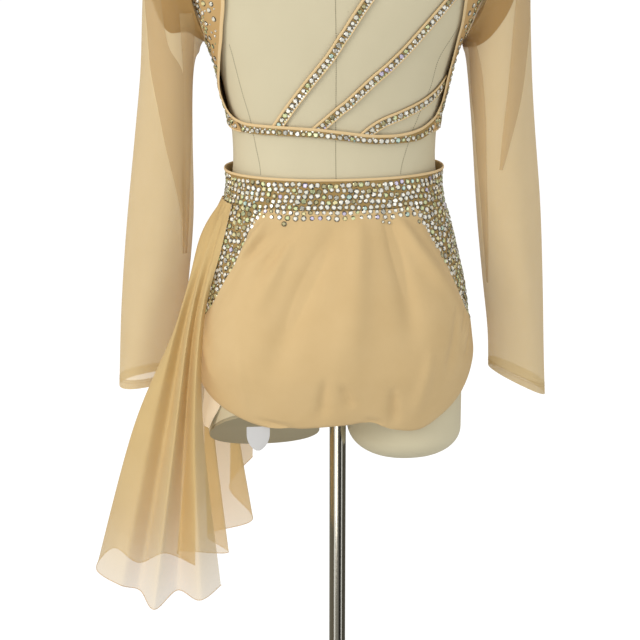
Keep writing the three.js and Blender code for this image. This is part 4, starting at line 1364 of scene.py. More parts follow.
    def panel_stones(self, side: Side) -> bpy.types.Object:
        """Stones on a side-back panel: close along the armhole and low down, sparse within."""
        inner, off = self.opening_edge(side)

        def share(turn: Array, z: Array) -> Array:
            """How far across the panel a place is: 0 at the opening, 1 at the armhole."""
            return (np.abs(turn) - inner(z)) / np.maximum(panel_side(z) - inner(z), 1e-3)

        def out(turn: Array, z: Array) -> Array:
            """The panel's outer face."""
            return UPON_FACE + shoulder_ease(z) + off(z) * np.clip(1 - share(turn, z), 0, 1)

        stones = Stones(f"panel_stones_{side.word}", 10 + side.value, out)
        turns = tuple(sorted((side.value * 42.0, side.value * 88.5)))
        heights = (self.foot + self.foot_rise[side][0] + 2.4 * MM, 1.352)

        def near_armhole(turn: Array, z: Array) -> Array:
            """The close-set places: a strip along the armhole, which widens low down."""
            s = share(turn, z)
            wide = (z < 1.128) & (s > 0.3) | (z < 1.072) & (s > 0.1)
            return (s > 0.72) & (s < 0.95) | wide & (s < 0.97)

        def within(turn: Array, z: Array) -> Array:
            """The sparse places."""
            s = share(turn, z)
            return (s > 0.2) & (s < 0.7)

        for inside, radius, gap, tries in (
                (within, (2.3 * MM, 3.1 * MM), 3.2 * MM, 400),
                (near_armhole, (1.7 * MM, 2.8 * MM), 0.4 * MM, 4500),
                (near_armhole, (1.0 * MM, 1.4 * MM), 0.2 * MM, 3500),
                (within, (1.1 * MM, 1.7 * MM), 1.8 * MM, 500)):
            stones.fill(turns, heights, inside, radius, gap, tries)
        return stones.set_on()

    def build_band(self) -> None:
        """Makes the low band: a binding along its top edge, and stones below."""
        trim = self.opening_binding()
        stones = Stones("back_band_stones", 20, lambda turn, z: np.full(np.shape(turn), UPON_FACE))
        turn_row, top, foot = columns(self.band_rows)
        turn = steps(300, turn_row[0] + 1, turn_row[-1] - 1)
        base = Curve(turn_row, foot)
        middle = lerp(base(turn), Curve(turn_row, top)(turn), 0.36)
        stones.row(turn, middle, pitch=6.6 * MM, radius=2.7 * MM, jitter=0.5 * MM)

        def inside(turn: Array, z: Array) -> Array:
            """Below the binding and above the lower edge."""
            rise = z - base(turn)
            return (rise > 1.0 * MM) & (rise < 7.0 * MM)

        stones.fill((-60, 60), (1.038, 1.060), inside, radius=(1.1 * MM, 1.7 * MM), gap=0.15 * MM,
                    tries=5000)
        sheet("back_band_mesh", shell(self.band().grid(), FINE), "stoned", "stoned_band",
              "back_band", (trim, stones.set_on()))

    def build(self) -> None:
        """Makes the bodice."""
        self.build_front()
        for side in Side:
            self.build_panel(side)
        self.build_band()


@dataclass
class Straps:
    """The three diagonal back straps: bound edges, one column of big stones and one of small."""

    width: float = 12 * MM
    # width and height of the upper and the lower edge's binding
    bindings: tuple = ((3.0 * MM, 1.2 * MM), (1.6 * MM, 1.0 * MM))
    # how far a stone is off its place: along, as a share of a step, and across
    wander: float = 0.3
    wobble: float = 0.25 * MM
    # each column's place across the strap, its stones' pitch and their radius
    columns_of_stones: tuple = ((-0.1 * MM, 7.0 * MM, 3.0 * MM), (3.9 * MM, 3.7 * MM, 1.65 * MM))
    # turn and height of each strap's middle line
    lines: dict = field(default_factory=lambda: {
        "strap_upper": ((-35.5, 1.0565), (-21.7, 1.0915), (-9.3, 1.126), (-3, 1.148), (3.1, 1.181),
                        (7.6, 1.204), (15, 1.240), (26.5, 1.286), (42.3, 1.322)),
        "strap_middle": ((-14, 1.053), (-3.5, 1.074), (11.1, 1.109), (20, 1.128), (28.5, 1.1495),
                         (35.9, 1.174), (43.1, 1.198), (49.5, 1.218)),
        "strap_lower": ((9, 1.047), (14, 1.0565), (20.5, 1.0645), (29.7, 1.071), (43.4, 1.0805),
                        (51.7, 1.087), (59.6, 1.0945), (70, 1.107)),
    })

    def path(self, line: tuple) -> Laid:
        """The middle line of a strap, read at even shares of its rows."""
        turn, z = columns(line)
        s = steps(40 * (len(line) - 1), 0, len(line) - 1)
        return Laid(through(turn)(s), through(z)(s), np.full(len(s), NEXT))

    def build(self) -> None:
        """Makes each strap with its two bindings and its stones."""
        for number, (name, line) in enumerate(self.lines.items()):
            path = self.path(line)
            middle, up = path.grid(), path.normals()
            across = unit(np.cross(np.gradient(middle, axis=0), up))
            grid = middle[None] + across[None] * (steps(6, -0.5, 0.5) * self.width)[:, None, None]
            face = up * FINE / 2
            strips = [sweep(middle + way * across * (width - self.width) / 2 + face, up,
                            rounded_profile(width, height))
                      for way, (width, height) in zip((1, -1), self.bindings)]
            trim = WARDROBE.piece(f"{name}_bindings", join(strips), "binding", "binding")
            stones = Stones(f"{name}_stones", 30 + number)
            for shift, pitch, radius in self.columns_of_stones:
                track = middle + across * shift + face
                at = resampled(track, pitch)[1:-1]
                at = at + stones.rng.normal(0, self.wander, len(at))
                wobble = stones.rng.normal(0, self.wobble, (len(at), 1))
                places = read_path(track, at) + read_path(across, at) * wobble
                stones.add(places, read_path(up, at), radius * stones.rng.uniform(0.84, 1.06, len(at)))
            sheet(f"{name}_mesh", shell(grid, FINE), "stoned", "stoned_band", name,
                  (trim, stones.set_on()))


# ---- waistband and brief


@dataclass
class Waistband:
    """The waistband: a back and a front half, bound on top, covered with uneven rows of stones."""

    top: float = WAIST_TOP
    foot: float = BAND_FOOT
    thick: float = 1.6 * MM
    lift: float = 6 * MM
    binding: float = 3.0 * MM
    row_pitch: float = 6.25 * MM
    rows: int = 5
    big_radius: float = 2.85 * MM
    big_pitch: float = 6.9 * MM
    wave: float = 0.8 * MM
    jitter: float = 0.85 * MM

    def stand_off(self, turn: Array, z: Array) -> Array:
        """The band's middle distance out: its upper edge stands off the form at the sides."""
        v = (z - self.foot) / (self.top - self.foot)
        return EASE + MM + self.lift * v**2 * np.sin(np.radians(turn)) ** 4

    def half(self, first: float, last: float) -> Laid:
        """One half of the band."""
        z, turn = np.meshgrid(steps(16, self.foot, self.top), steps(240, first, last), indexing="ij")
        return Laid(turn, z, self.stand_off(turn, z))

    def build_half(self, node: str, first: float, last: float, seed: int) -> None:
        """Makes one half with its binding and its stones."""
        half = self.half(first, last)
        trim = bound(f"{node}_binding", [half.edge(-1, slice(None))], self.binding, 1.5 * MM, self.thick)
        stones = Stones(f"{node}_stones", seed, lambda turn, z: self.stand_off(turn, z) + self.thick / 2)

        for row in range(self.rows):
            z = self.top - self.binding - self.row_pitch * (row + 0.5)
            turn = steps(300, first + 0.6 * (1 + row % 2), last - 0.6 - 2.6 * (row % 2))
            wave = self.wave * np.sin(turn * 0.21 + 2.1 * row)
            stones.row(turn, z + wave, self.big_pitch, self.big_radius, self.jitter)

        def inside(turn: Array, z: Array) -> Array:
            """Anywhere below the binding."""
            return z < self.top - self.binding - 0.6 * MM

        span, height = (first, last), (self.foot + 1.5 * MM, self.top)
        for radius, tries in (((1.8 * MM, 2.4 * MM), 2500), ((1.1 * MM, 1.6 * MM), 1500)):
            stones.fill(span, height, inside, radius, 0.3 * MM, tries)
        sheet(f"{node}_mesh", shell(half.grid(), self.thick), "stoned", "stoned_band", node,
              (trim, stones.set_on()))

    def build(self) -> None:
        """Makes both halves."""
        self.build_half("waistband_back", -SIDE_TURN, SIDE_TURN, 40)
        self.build_half("waistband_front", 180 - SIDE_TURN, 180 + SIDE_TURN, 41)


# place along the edge, turn and height of the overlay's upper edge, then of its hem
OVERLAY_TOP = (
    (-1, -89.9, 0.812), (-0.83, -72, 0.840), (-0.7, -58, 0.881), (-0.58, -51, 0.922), (-0.46, -43, 0.962),
    (-0.3, -27, 0.9652), (0, -2, 0.9652), (0.25, 23, 0.9652), (0.4, 38.5, 0.964), (0.5, 45, 0.937),
    (0.61, 53.5, 0.901), (0.72, 62, 0.861), (0.84, 73, 0.830), (1, 89.9, 0.812),
)
OVERLAY_HEM = (
    (-1, -89.9, 0.778), (-0.85, -80, 0.764), (-0.66, -67, 0.745), (-0.47, -48, 0.727), (-0.3, -34, 0.718),
    (-0.16, -21, 0.717), (0, -1.5, 0.721), (0.1, 9, 0.724), (0.2, 20, 0.712), (0.33, 33, 0.707),
    (0.49, 47, 0.721), (0.64, 58, 0.734), (0.8, 71, 0.751), (0.9, 80, 0.768), (1, 89.9, 0.784),
)

# share of the way down the overlay, distance out in millimetres, drop below the hem
OVERLAY_FALL = (
    (0, 0.2, 0), (0.03, 1.2, 0), (0.1, 3.2, 0), (0.3, 6, 0), (0.55, 9, 0), (0.8, 11.5, 0), (0.95, 11.5, 0),
    (1, 9.5, 2), (1.04, 5.5, 2.5), (1.1, 3.4, -3),
)
FALL = 0.24  # the overlay's length from seam to hem, near enough for the stones on it


def hip_seam(turn: Array) -> Array:
    """The height of the hip seam, the overlay's upper edge, at a turn."""
    turns, z = columns(OVERLAY_TOP, 1, 2)
    return Curve(turns, z)(turn)


@dataclass
class Brief:
    """The brief: a back whose hips carry stones, a plain front, and the gusset's two ends."""

    leg_side: float = 0.800
    leg_foot: float = 0.728
    crotch_turn: float = 13.0
    top: float = BAND_FOOT - SEAM
    gusset_z: float = FORM_FOOT - EASE - CLOTH
    gusset_half: float = 0.022
    seam_step: float = 1.5 * MM
    # height and pitch of the rows of stones under the waistband
    low_rows: tuple = ((0.9632, 7.0 * MM), (0.9572, 8.6 * MM))

    def leg_line(self, turn: Array) -> Array:
        """The leg line's height at a turn from the middle: it rises with a power of the turn."""
        t = np.maximum(0, (np.abs(turn) - self.crotch_turn) / (SIDE_TURN - self.crotch_turn))
        return lerp(self.leg_foot, self.leg_side, t**0.7)

    def half(self, middle: float) -> Laid:
        """The back or the front, from the waistband to the leg line."""
        v, turn = np.meshgrid(steps(60), steps(200, -SIDE_TURN, SIDE_TURN), indexing="ij")
        z = lerp(self.top, self.leg_line(turn), v)
        return Laid(middle + turn, z, np.full(z.shape, NEXT))

    def gusset(self, name: str, y0: float, y1: float) -> None:
        """One end of the gusset, which narrows between the thighs."""
        form = Form()
        y = steps(24, y0, y1)
        reach = np.where(y < 0, form.stub_back, form.stub_front)
        bow = (1 - np.minimum(1, np.abs(y) / reach) ** BODY.SQUARENESS) ** (1 / BODY.SQUARENESS)
        half = np.minimum(self.gusset_half, form.right_x - form.right_half * bow - MM)
        t = steps(8, -1, 1)
        grid = np.stack(np.broadcast_arrays(half[:, None] * t, y[:, None], self.gusset_z), -1)
        sheet(f"{name}_jersey", shell(grid, FINE), "crepe", "brief_jersey", name)

    def hip_stones(self) -> bpy.types.Object:
        """Stones over both hips: close above the hip seam, and strewn a little way past it."""
        share, rise = columns(OVERLAY_FALL, 0, 1)

        def out(turn: Array, z: Array) -> Array:
            """The face of the brief, or of the overlay below the hip seam."""
            below = hip_seam(turn) - z
            bubble = UPON_FACE + Curve(share, rise * MM)(np.maximum(below, 0) / FALL)
            return np.where(below > -self.seam_step, bubble, NEXT + FINE / 2)

        stones = Stones("hip_stones", 50, out)

        def close(turn: Array, z: Array) -> Array:
            """Above the hip seam, clear of its step."""
            above = z - hip_seam(turn)
            return (above > 3.2 * MM) | (above < -self.seam_step) & (above > -5 * MM)

        def strewn(turn: Array, z: Array) -> Array:
            """A little way below the hip seam."""
            above = z - hip_seam(turn)
            return (above < -self.seam_step) & (above > -16 * MM)

        low = steps(300, -40, 37)
        for z, pitch in self.low_rows:
            wavy = z - 0.6 * MM * np.cos(low * 0.3)
            stones.row(low, wavy, pitch, radius=2.6 * MM, jitter=0.4 * MM)
        for turns in ((-88.5, -38.0), (34.0, 88.5)):
            stones.fill(turns, (0.806, 0.964), close, (2.4 * MM, 3.1 * MM), 0.45 * MM, 6000)
            stones.fill(turns, (0.806, 0.964), close, (1.1 * MM, 1.8 * MM), 0.3 * MM, 3500)
        for turns, tries in (((-84, -42), 90), ((-44, 40), 420), ((38, 84), 90)):
            stones.fill(turns, (0.83, 0.961), strewn, (1.4 * MM, 3.0 * MM), 1.6 * MM, tries)
        return stones.set_on()

    def build(self) -> None:
        """Makes the brief."""
        for node, middle, finish in (("brief_back", 0.0, "stoned"), ("brief_front", 180.0, "crepe")):
            half = self.half(middle)
            edge = bound(f"{node}_leg_elastic", [half.edge(-1, slice(None))], 4 * MM, 1.2 * MM)
            extras = (edge, self.hip_stones()) if middle == 0 else (edge,)
            sheet(f"{node}_jersey", shell(half.grid(), FINE), finish, "brief_jersey", node, extras)
        self.gusset("gusset_back", -0.082, -0.014)
        self.gusset("gusset_front", 0.014, 0.066)


@dataclass
class Overlay:
    """The bubble overlay over the seat: matt crepe, gathered into the hip seams, rolled at its hem."""

    side_fullness: dict = field(default_factory=lambda: {Side.LEFT: 0.05, Side.RIGHT: -0.5})
    fold_height: float = 1.6 * MM
    crease_depth: float = 1.6
    metres_per_degree: float = 2.55 * MM
    # turn and height of each crease's start and end, then its height, width and bow in millimetres
    creases: tuple = (
        (-37, 0.959, -65, 0.858, 3.8, 8, 3), (-30, 0.942, -59, 0.887, -3.6, 8, 0),
        (-21, 0.951, -39, 0.895, -3.2, 8, 3), (-24, 0.931, -37, 0.851, 3.2, 9, 0),
        (-5, 0.937, -29, 0.776, -4.4, 14, -5), (6, 0.950, 0, 0.800, 3.2, 13, 0),
        (20, 0.948, 26, 0.816, -3.4, 11, 3), (26, 0.955, 53, 0.856, 3.6, 10, -3),
        (52, 0.839, 45, 0.772, -2.4, 8, 0), (66, 0.842, 56, 0.818, -1.4, 3.5, 0),
        (70, 0.830, 58, 0.803, 1.3, 4, 0), (74, 0.818, 61, 0.788, -1.3, 4, 0),
        (-73, 0.835, -59, 0.765, 2.2, 8, 0), (-7, 0.778, -8, 0.730, -2.4, 6, 0),
        (-1, 0.773, 2, 0.746, -1.8, 4, 0), (18, 0.762, 20, 0.718, -2.4, 6, 0),
        (-34, 0.725, -18, 0.717, -1.8, 3, 0), (8, 0.728, 15, 0.721, -1.6, 3, 0),
        (34, 0.800, 30, 0.728, 1.8, 9, 0), (-44, 0.800, -40, 0.735, 1.6, 8, 0),
    )

    def cloth(self) -> Laid:
        """The overlay: a loft between its two edges, full below, with waves and laid creases."""
        levels = np.r_[steps(90, 0, 1), steps(10, 1.01, 1.1)]
        v, t = np.meshgrid(levels, steps(300, -1, 1), indexing="ij")
        top_t, top_turn, top_z = columns(OVERLAY_TOP)
        hem_t, hem_turn, hem_z = columns(OVERLAY_HEM)
        share, out, drop = columns(OVERLAY_FALL)
        down = np.minimum(v, 1)
        turn = lerp(Curve(top_t, top_turn)(t), Curve(hem_t, hem_turn)(t), down)
        z = lerp(Curve(top_t, top_z)(t), Curve(hem_t, hem_z)(t), down)
        side = np.where(t < 0, self.side_fullness[Side.LEFT], self.side_fullness[Side.RIGHT])
        full = 1 + side * np.abs(t) ** 3
        swing = np.cos(9 * t + 4 * down * np.tanh(t / 0.15))
        wave = self.fold_height * (1 - t**4) * np.sin(np.pi * down) * swing
        laid = creased(self.creases, turn, z, self.metres_per_degree)
        laid = self.crease_depth * laid * smooth(0, 0.08, down) * (1 - t**8) * (1 - smooth(1.0, 1.06, v))
        far = UPON + full * Curve(share, out * MM)(v) + wave + laid
        return Laid(turn, z - Curve(share, drop * MM)(v), np.maximum(far, UPON + 0.4 * MM))

    def build(self) -> None:
        """Makes the overlay and the stitched seam at its top."""
        cloth = self.cloth()
        top = cloth.edge(2, slice(None))
        seam = WARDROBE.piece("overlay_seam_stitches", stitches(
            top.grid(FINE / 2), top.normals(), 2.4 * MM, 1.8 * MM, 0.6 * MM), "hem_thread", "thread")
        sheet("seat_overlay_crepe", shell(cloth.grid(), FINE), "crepe", "crepe", "seat_overlay",
              (seam,), "gathered", ("brief_back_jersey",))


# ---- the side drape


@dataclass
class Drape:
    """The side drape: one sheet of tulle gathered into the waistband, which falls in deep folds."""

    top: float = BAND_FOOT - 1.5 * MM
    out: float = OVER + 1.6 * MM
    gather: float = 1.2 * MM
    hem_width: float = 1.1 * MM
    flare_z: float = 0.915
    hip_z: float = 0.830
    thigh_z: float = 0.700
    # turn at the waist, flare below it, hip x and y, thigh x and y, hem x, y and z, in millimetres
    folds: tuple = (
        (68, 1, 163, -58, 166, -64, 148, -60, 504),
        (72, 4, 168, -66, 178, -88, 175, -100, 503),
        (76, 2, 173, -50, 187, -50, 200, -42, 492),
        (79, 8, 180, -60, 200, -82, 229, -96, 492),
        (82, 6, 183, -42, 208, -46, 245, -42, 494),
        (85, 11, 193, -46, 228, -54, 269, -56, 508),
        (88, 15, 191, -28, 247, -34, 297, -12, 512),
        (92, 13, 181, -17, 228, -18, 276, 40, 517),
        (96, 8, 177, -6, 202, -10, 246, 16, 506),
        (102, 9, 174, 10, 184, 10, 212, 58, 500),
        (108, 5, 169, 24, 172, 22, 176, 20, 498),
        (115, 7, 162, 40, 176, 46, 196, 62, 500),
        (122, 4, 153, 52, 152, 46, 134, 32, 508),
        (129, 6, 142, 64, 158, 72, 158, 66, 520),
        (137, 4, 127, 72, 124, 80, 102, 48, 545),
        (144, 6, 112, 83, 123, 93, 128, 88, 575),
        (150, 2, 96, 88, 96, 99, 98, 94, 612),
    )

    def line(self, s: Array) -> Array:
        """The five levels of the fold line at each place s along the waist, [level, s, xyz]."""
        turn, flare, hip_x, hip_y, leg_x, leg_y, x, y, z = through(np.array(self.folds, float))(s).T
        out = self.out + self.gather * np.cos(np.pi * s)
        full = np.full(len(s), 1.0)
        return np.stack([
            BODY.place(-turn, self.top * full, out),
            BODY.place(-turn, self.flare_z * full, self.out + flare * MM),
            np.stack([-hip_x * MM, hip_y * MM, self.hip_z * full], -1),
            np.stack([-leg_x * MM, leg_y * MM, self.thigh_z * full], -1),
            np.stack([-x * MM, y * MM, z * MM], -1),
        ])

    def cloth(self) -> Array:
        """The sheet: a curve down each fold line."""
        levels = self.line(steps(320, 0, len(self.folds) - 1))
        return through(levels)(steps(140, 0, len(levels) - 1))

    def build(self) -> None:
        """Makes the sheet and the rolled hem along its foot."""
        grid = self.cloth()
        hem = WARDROBE.piece("drape_rolled_hem", sweep(
            grid[-1], grid_normals(grid)[-1], rounded_profile(self.hem_width, self.hem_width)),
            "folded", "sheer_mesh")
        piece = sheet("side_drape_tulle", single(grid), "veil", "sheer_mesh", "hip_drape", (hem,),
                      "gathered", ("waistband_back_mesh", "waistband_front_mesh"))
        # Tulle hardly shades what hangs behind it.
        piece.visible_shadow = False


# ---- the sleeves


@dataclass
class Sleeve:
    """One sleeve of stretch mesh, from the armhole to a stitched cuff, worn by no arm."""

    side: Side
    rings: int = 190
    around: int = 144
    cuff: float = 10.0
    spread: float = 1.15
    out: float = OVER + 1.5 * CLOTH + 2 * SEAM
    hem_from: float = 9.72
    hem_inset: float = 0.5 * MM
    head_lift: float = 0.4 * MM
    # where a fold lies along the sleeve, its reach, how many fit round, slant, depth
    folds: tuple = ((2.2, 2.2, 3, 1.1, 2.6 * MM), (5.4, 2.6, 2, -0.7, 2.2 * MM), (8.6, 1.8, 4, 0.9, 1.5 * MM))
    # ring, underarm x and z, outer x and z, middle y, half depth, in millimetres
    tables: dict = field(default_factory=lambda: {
        Side.LEFT: (
            (1, 156, 1148, 203, 1314, 0, 51), (2, 160, 1144, 217, 1282, 0, 48),
            (3, 162, 1138, 223, 1236, 1, 46), (4, 165, 1126, 226, 1186, 3, 44),
            (5, 167, 1092, 230, 1116, 6, 42), (6, 169, 1030, 237, 1042, 11, 40),
            (7, 171, 945, 246, 950, 20, 38), (8, 179, 860, 254, 860, 29, 36),
            (9, 187, 792, 260, 790, 34, 34), (10, 192, 742, 264, 730, 35, 31)),
        Side.RIGHT: (
            (1, 146, 1147, 203, 1314, 0, 51), (2, 147, 1143, 216, 1280, 0, 48),
            (3, 147.5, 1137, 221, 1232, 0, 46), (4, 148, 1126, 223, 1182, 0, 44),
            (5, 151, 1092, 228, 1116, 0, 42), (6, 158, 1030, 234, 1042, 0, 40),
            (7, 166, 953, 241, 957, 0, 38), (8, 176, 863, 247, 860, 0, 36),
            (9, 182, 802, 252, 786, 0, 33), (10, 184, 752, 256, 715, 0, 30)),
    })
    # height, x of one edge, x of the other: cloth folded over on the sleeve's back
    tucks: dict = field(default_factory=lambda: {
        Side.LEFT: (((1250, -222, -206), (1200, -222, -204), (1164, -220, -200), (1144, -219, -195),
                     (1117, -217, -181), (1071, -209, -180),
                     (1031, -202, -180), (990, -193, -180), (950, -186, -180.5), (900, -184.5, -183)),
                    ((1185, -184, -166), (1156, -182.5, -167), (1120, -181, -168.5),
                     (1080, -180.5, -170), (1030, -181, -172),
                     (990, -184, -174), (940, -183, -176), (900, -182.5, -179))),
        Side.RIGHT: (((1147, 148, 155), (1120, 151, 161), (1088, 154, 165), (1053, 158, 168),
                      (1017, 161, 170), (969, 166, 173), (920, 171, 176), (860, 177, 178.5)),
                     ((1215, 198, 223), (1170, 195, 219), (1134, 193, 215), (1088, 190, 209),
                      (1041, 186, 198), (1000, 184, 188))),
    })
    # angle round the armhole and how many rings the doubled head reaches down there
    head: dict = field(default_factory=lambda: {
        Side.LEFT: ((0, 2.8), (45, 3.4), (90, 3.8), (135, 2.5), (180, 1.0), (225, 2.0), (270, 2.6),
                    (315, 2.6), (360, 2.8)),
        Side.RIGHT: ((0, 1.5), (45, 2.3), (90, 3.3), (135, 3.5), (180, 2.4), (225, 2.4), (270, 2.4),
                     (315, 2.0), (360, 1.5))})
    # angle and ring of each stone on the head, and its radius
    head_stones: dict = field(default_factory=lambda: {
        Side.LEFT: ((38, 0.55, 2.2 * MM), (60, 1.05, 2.4 * MM), (80, 0.5, 2.0 * MM), (24, 1.3, 1.8 * MM)),
        Side.RIGHT: ((60, 0.5, 2.0 * MM), (36, 1.1, 2.4 * MM), (84, 0.9, 2.0 * MM), (58, 1.7, 1.8 * MM),
                     (100, 0.45, 2.0 * MM))})

    def doubled_head(self) -> bpy.types.Object:
        """The doubled mesh at the armhole: a second layer that reaches down to a wavy edge."""
        angle = circle(self.around, 360)
        reach = Curve(*columns(self.head[self.side]))(angle)
        share, angles = np.meshgrid(steps(24, 0.02, 1), angle, indexing="ij")
        head = self.place(share * reach, angles)
        head = head + unit(head - head.mean(1, keepdims=True)) * self.head_lift
        return WARDROBE.piece(f"doubled_head_{self.side.word}", single(head, True), "doubled",
                              "sheer_mesh")

    def tuck(self, number: int, rows: tuple, wall: Array) -> bpy.types.Object:
        """One tuck: a strip between two edges, laid on the nearest points of the sleeve's back."""
        z, x0, x1 = np.array(rows, float).T * MM
        v = steps(60, 0, len(rows) - 1)
        across = steps(8)[None]
        x = lerp(through(x0)(v)[:, None], through(x1)(v)[:, None], across)
        x, z = np.broadcast_arrays(x, through(z)(v)[:, None])
        away = (wall[:, 0] - x[..., None]) ** 2 + (wall[:, 2] - z[..., None]) ** 2
        y = evened(wall[away.argmin(-1), 1], 6)
        lift = (0.8 + 1.2 * np.sin(np.pi * across)) * MM
        return WARDROBE.piece(f"sleeve_tuck_{self.side.word}_{number}",
                              single(np.stack([x, y - lift, z], -1)), "folded", "sheer_mesh")

    def folded_layers(self) -> list[bpy.types.Object]:
        """The doubled head and the tucks."""
        wall = self.place(*np.meshgrid(steps(420, 0.3, 10), steps(160, 4, 176), indexing="ij"))
        wall = wall.reshape(-1, 3)
        tucks = [self.tuck(number, rows, wall) for number, rows in enumerate(self.tucks[self.side])]
        return [self.doubled_head(), *tucks]

    def stones(self) -> bpy.types.Object:
        """A few stones strewn over the sleeve's head."""
        angle, ring, radius = columns(self.head_stones[self.side])
        near = 0.05
        spots = self.place(ring, angle)
        along, round_it = self.place(ring + near, angle) - spots, self.place(ring, angle + 1) - spots
        up = unit(np.cross(round_it, along))
        up = up * np.sign((up * (spots - self.place(ring, angle + 180))).sum(-1, keepdims=True))
        stones = Stones(f"sleeve_stones_{self.side.word}", 60 + self.side.value)
        stones.add(spots + up * 0.6 * MM, up, radius)
        return stones.set_on()

    def fold(self, ring: Array, angle: Array) -> Array:
        """The folds' lift: cosine waves round the arm, each faded by a bell along it."""
        total = np.zeros(np.broadcast(ring, angle).shape)
        for middle, reach, around, slant, depth in self.folds:
            near = np.exp(-(((ring - middle) / reach) ** 2))
            total = total + near * depth * np.cos(np.radians(angle * around) + slant * ring)
        return total

    def armhole(self, angle: Array) -> Array:
        """The armhole's loop: 0 degrees at the shoulder tip, 90 at the back."""
        z = lerp(UNDERARM, SHOULDER_TIP, 0.5 + 0.5 * np.cos(np.radians(angle)))
        turn = np.where(angle <= 180, ARM_BACK(z), ARM_FRONT(z))
        return BODY.place(self.side.value * turn, z, self.out + shoulder_ease(z))

    def place(self, ring: Array, angle: Array) -> Array:
        """The sleeve's point at each ring and angle: a flattened ring between inner and outer side."""
        rows = np.array(self.tables[self.side], float)
        value = Curve(rows[:, 0], rows[:, 1:] * MM)(np.maximum(ring, 1))
        x0, z0, x1, z1, middle, depth = np.moveaxis(value, -1, 0)
        lift = self.fold(ring, angle)
        cos, sin = np.cos(np.radians(angle)), np.sin(np.radians(angle))
        along = 0.5 + 0.5 * cos + lift / np.hypot(x1 - x0, z1 - z0) * cos
        y = middle - (depth + lift) * sin
        point = np.stack([self.side.value * lerp(x0, x1, along), y, lerp(z0, z1, along)], -1)
        near = np.minimum(ring, 1)[..., None]
        return lerp(self.armhole(angle), point, near)

    def cloth(self, first: float, last: float, rings: int) -> Array:
        """The sleeve between two places along it, closed round the arm, rings closer near the top."""
        ends = (np.array([first, last]) / self.cuff) ** (1 / self.spread)
        ring = self.cuff * steps(rings, *ends) ** self.spread
        return self.place(*np.meshgrid(ring, circle(self.around, 360), indexing="ij"))

    def build(self) -> None:
        """Makes the sleeve, its turned-up cuff hem and the cuff's two rows of stitches."""
        name = self.side.word
        hem_grid = self.cloth(self.hem_from, self.cuff, 12)
        inward = unit(hem_grid.mean(1, keepdims=True) - hem_grid) * self.hem_inset
        hem = WARDROBE.piece(f"cuff_hem_{name}", single(hem_grid + inward, True), "sheer", "sheer_mesh")
        rows = []
        for place in (self.hem_from + 0.02, self.hem_from + 0.08):
            loop = self.cloth(place - 0.01, place, 1)[1]
            loop = np.concatenate([loop, loop[:1]])
            rows.append(stitches(loop, unit(loop - loop.mean(0)), 2.6 * MM, 2.0 * MM, 0.6 * MM))
        thread = WARDROBE.piece(f"cuff_stitches_{name}", join(rows), "hem_thread", "thread")
        sheet(f"sleeve_mesh_{name}", single(self.cloth(0.0, self.cuff, self.rings), True), "sheer",
              "sheer_mesh", f"sleeve_{name}", (hem, thread, self.stones(), *self.folded_layers()),
              "hung", (f"side_panel_mesh_{name}", "bodice_front_mesh"))


# ---- the lining flap and the label


@dataclass
class LeftLeg:
    """What turns out of the left leg opening: a flap of lining and a plain care label."""

    # height, first turn, last turn, distance out in millimetres
    flap_rows: tuple = ((0.772, 88, 66, 3.2), (0.746, 88, 62, 3.4), (0.728, 88, 63, 5),
                        (0.710, 86, 68, 9), (0.695, 80, 72, 11))
    label_x: float = -0.103
    label_y: float = -0.086
    label_top: float = 0.7115
    label_foot: float = 0.6805
    label_half: float = 13.5 * MM
    label_lean: float = 4 * MM
    label_thick: float = 0.4 * MM

    def flap(self) -> Array:
        """The flap: rows of places on the body, read by a curve from the top down."""
        v = steps(40, 0, len(self.flap_rows) - 1)
        z, first, last, out = (through(column)(v)[:, None] for column in columns(self.flap_rows))
        t = steps(40)[None]
        ripple = 0.5 * MM * np.sin(9 * t + v[:, None]) * smooth(0, 2, v)[:, None]
        return BODY.place(-lerp(first, last, t), z + 0 * t, out * MM + ripple)

    def label(self) -> Array:
        """The label: a plain strip with a rounded tip, which hangs a little off the cloth."""
        v = 0.985 * np.sin(np.radians(steps(40, 0, 90)))[:, None]
        half = self.label_half * (1 - np.maximum(0, (v - 0.3) / 0.7) ** 2) ** 0.62
        k = steps(16, -1, 1)[None]
        bow = 0.8 * MM * (k**2 - 0.5) * v
        return np.stack(np.broadcast_arrays(
            self.label_x + k * half, self.label_y + self.label_lean * v + bow,
            lerp(self.label_top, self.label_foot, v)), -1)

    def build(self) -> None:
        """Makes the flap and the label."""
        hangs = {"held": "hung", "rests_on": ("brief_back_jersey",)}
        sheet("leg_lining_flap", shell(self.flap(), FINE), "lining", "lining", "leg_lining", **hangs)
        sheet("blank_care_label", shell(self.label(), self.label_thick), "label", "label_satin",
              "care_label", **hangs)


# ---- the studio


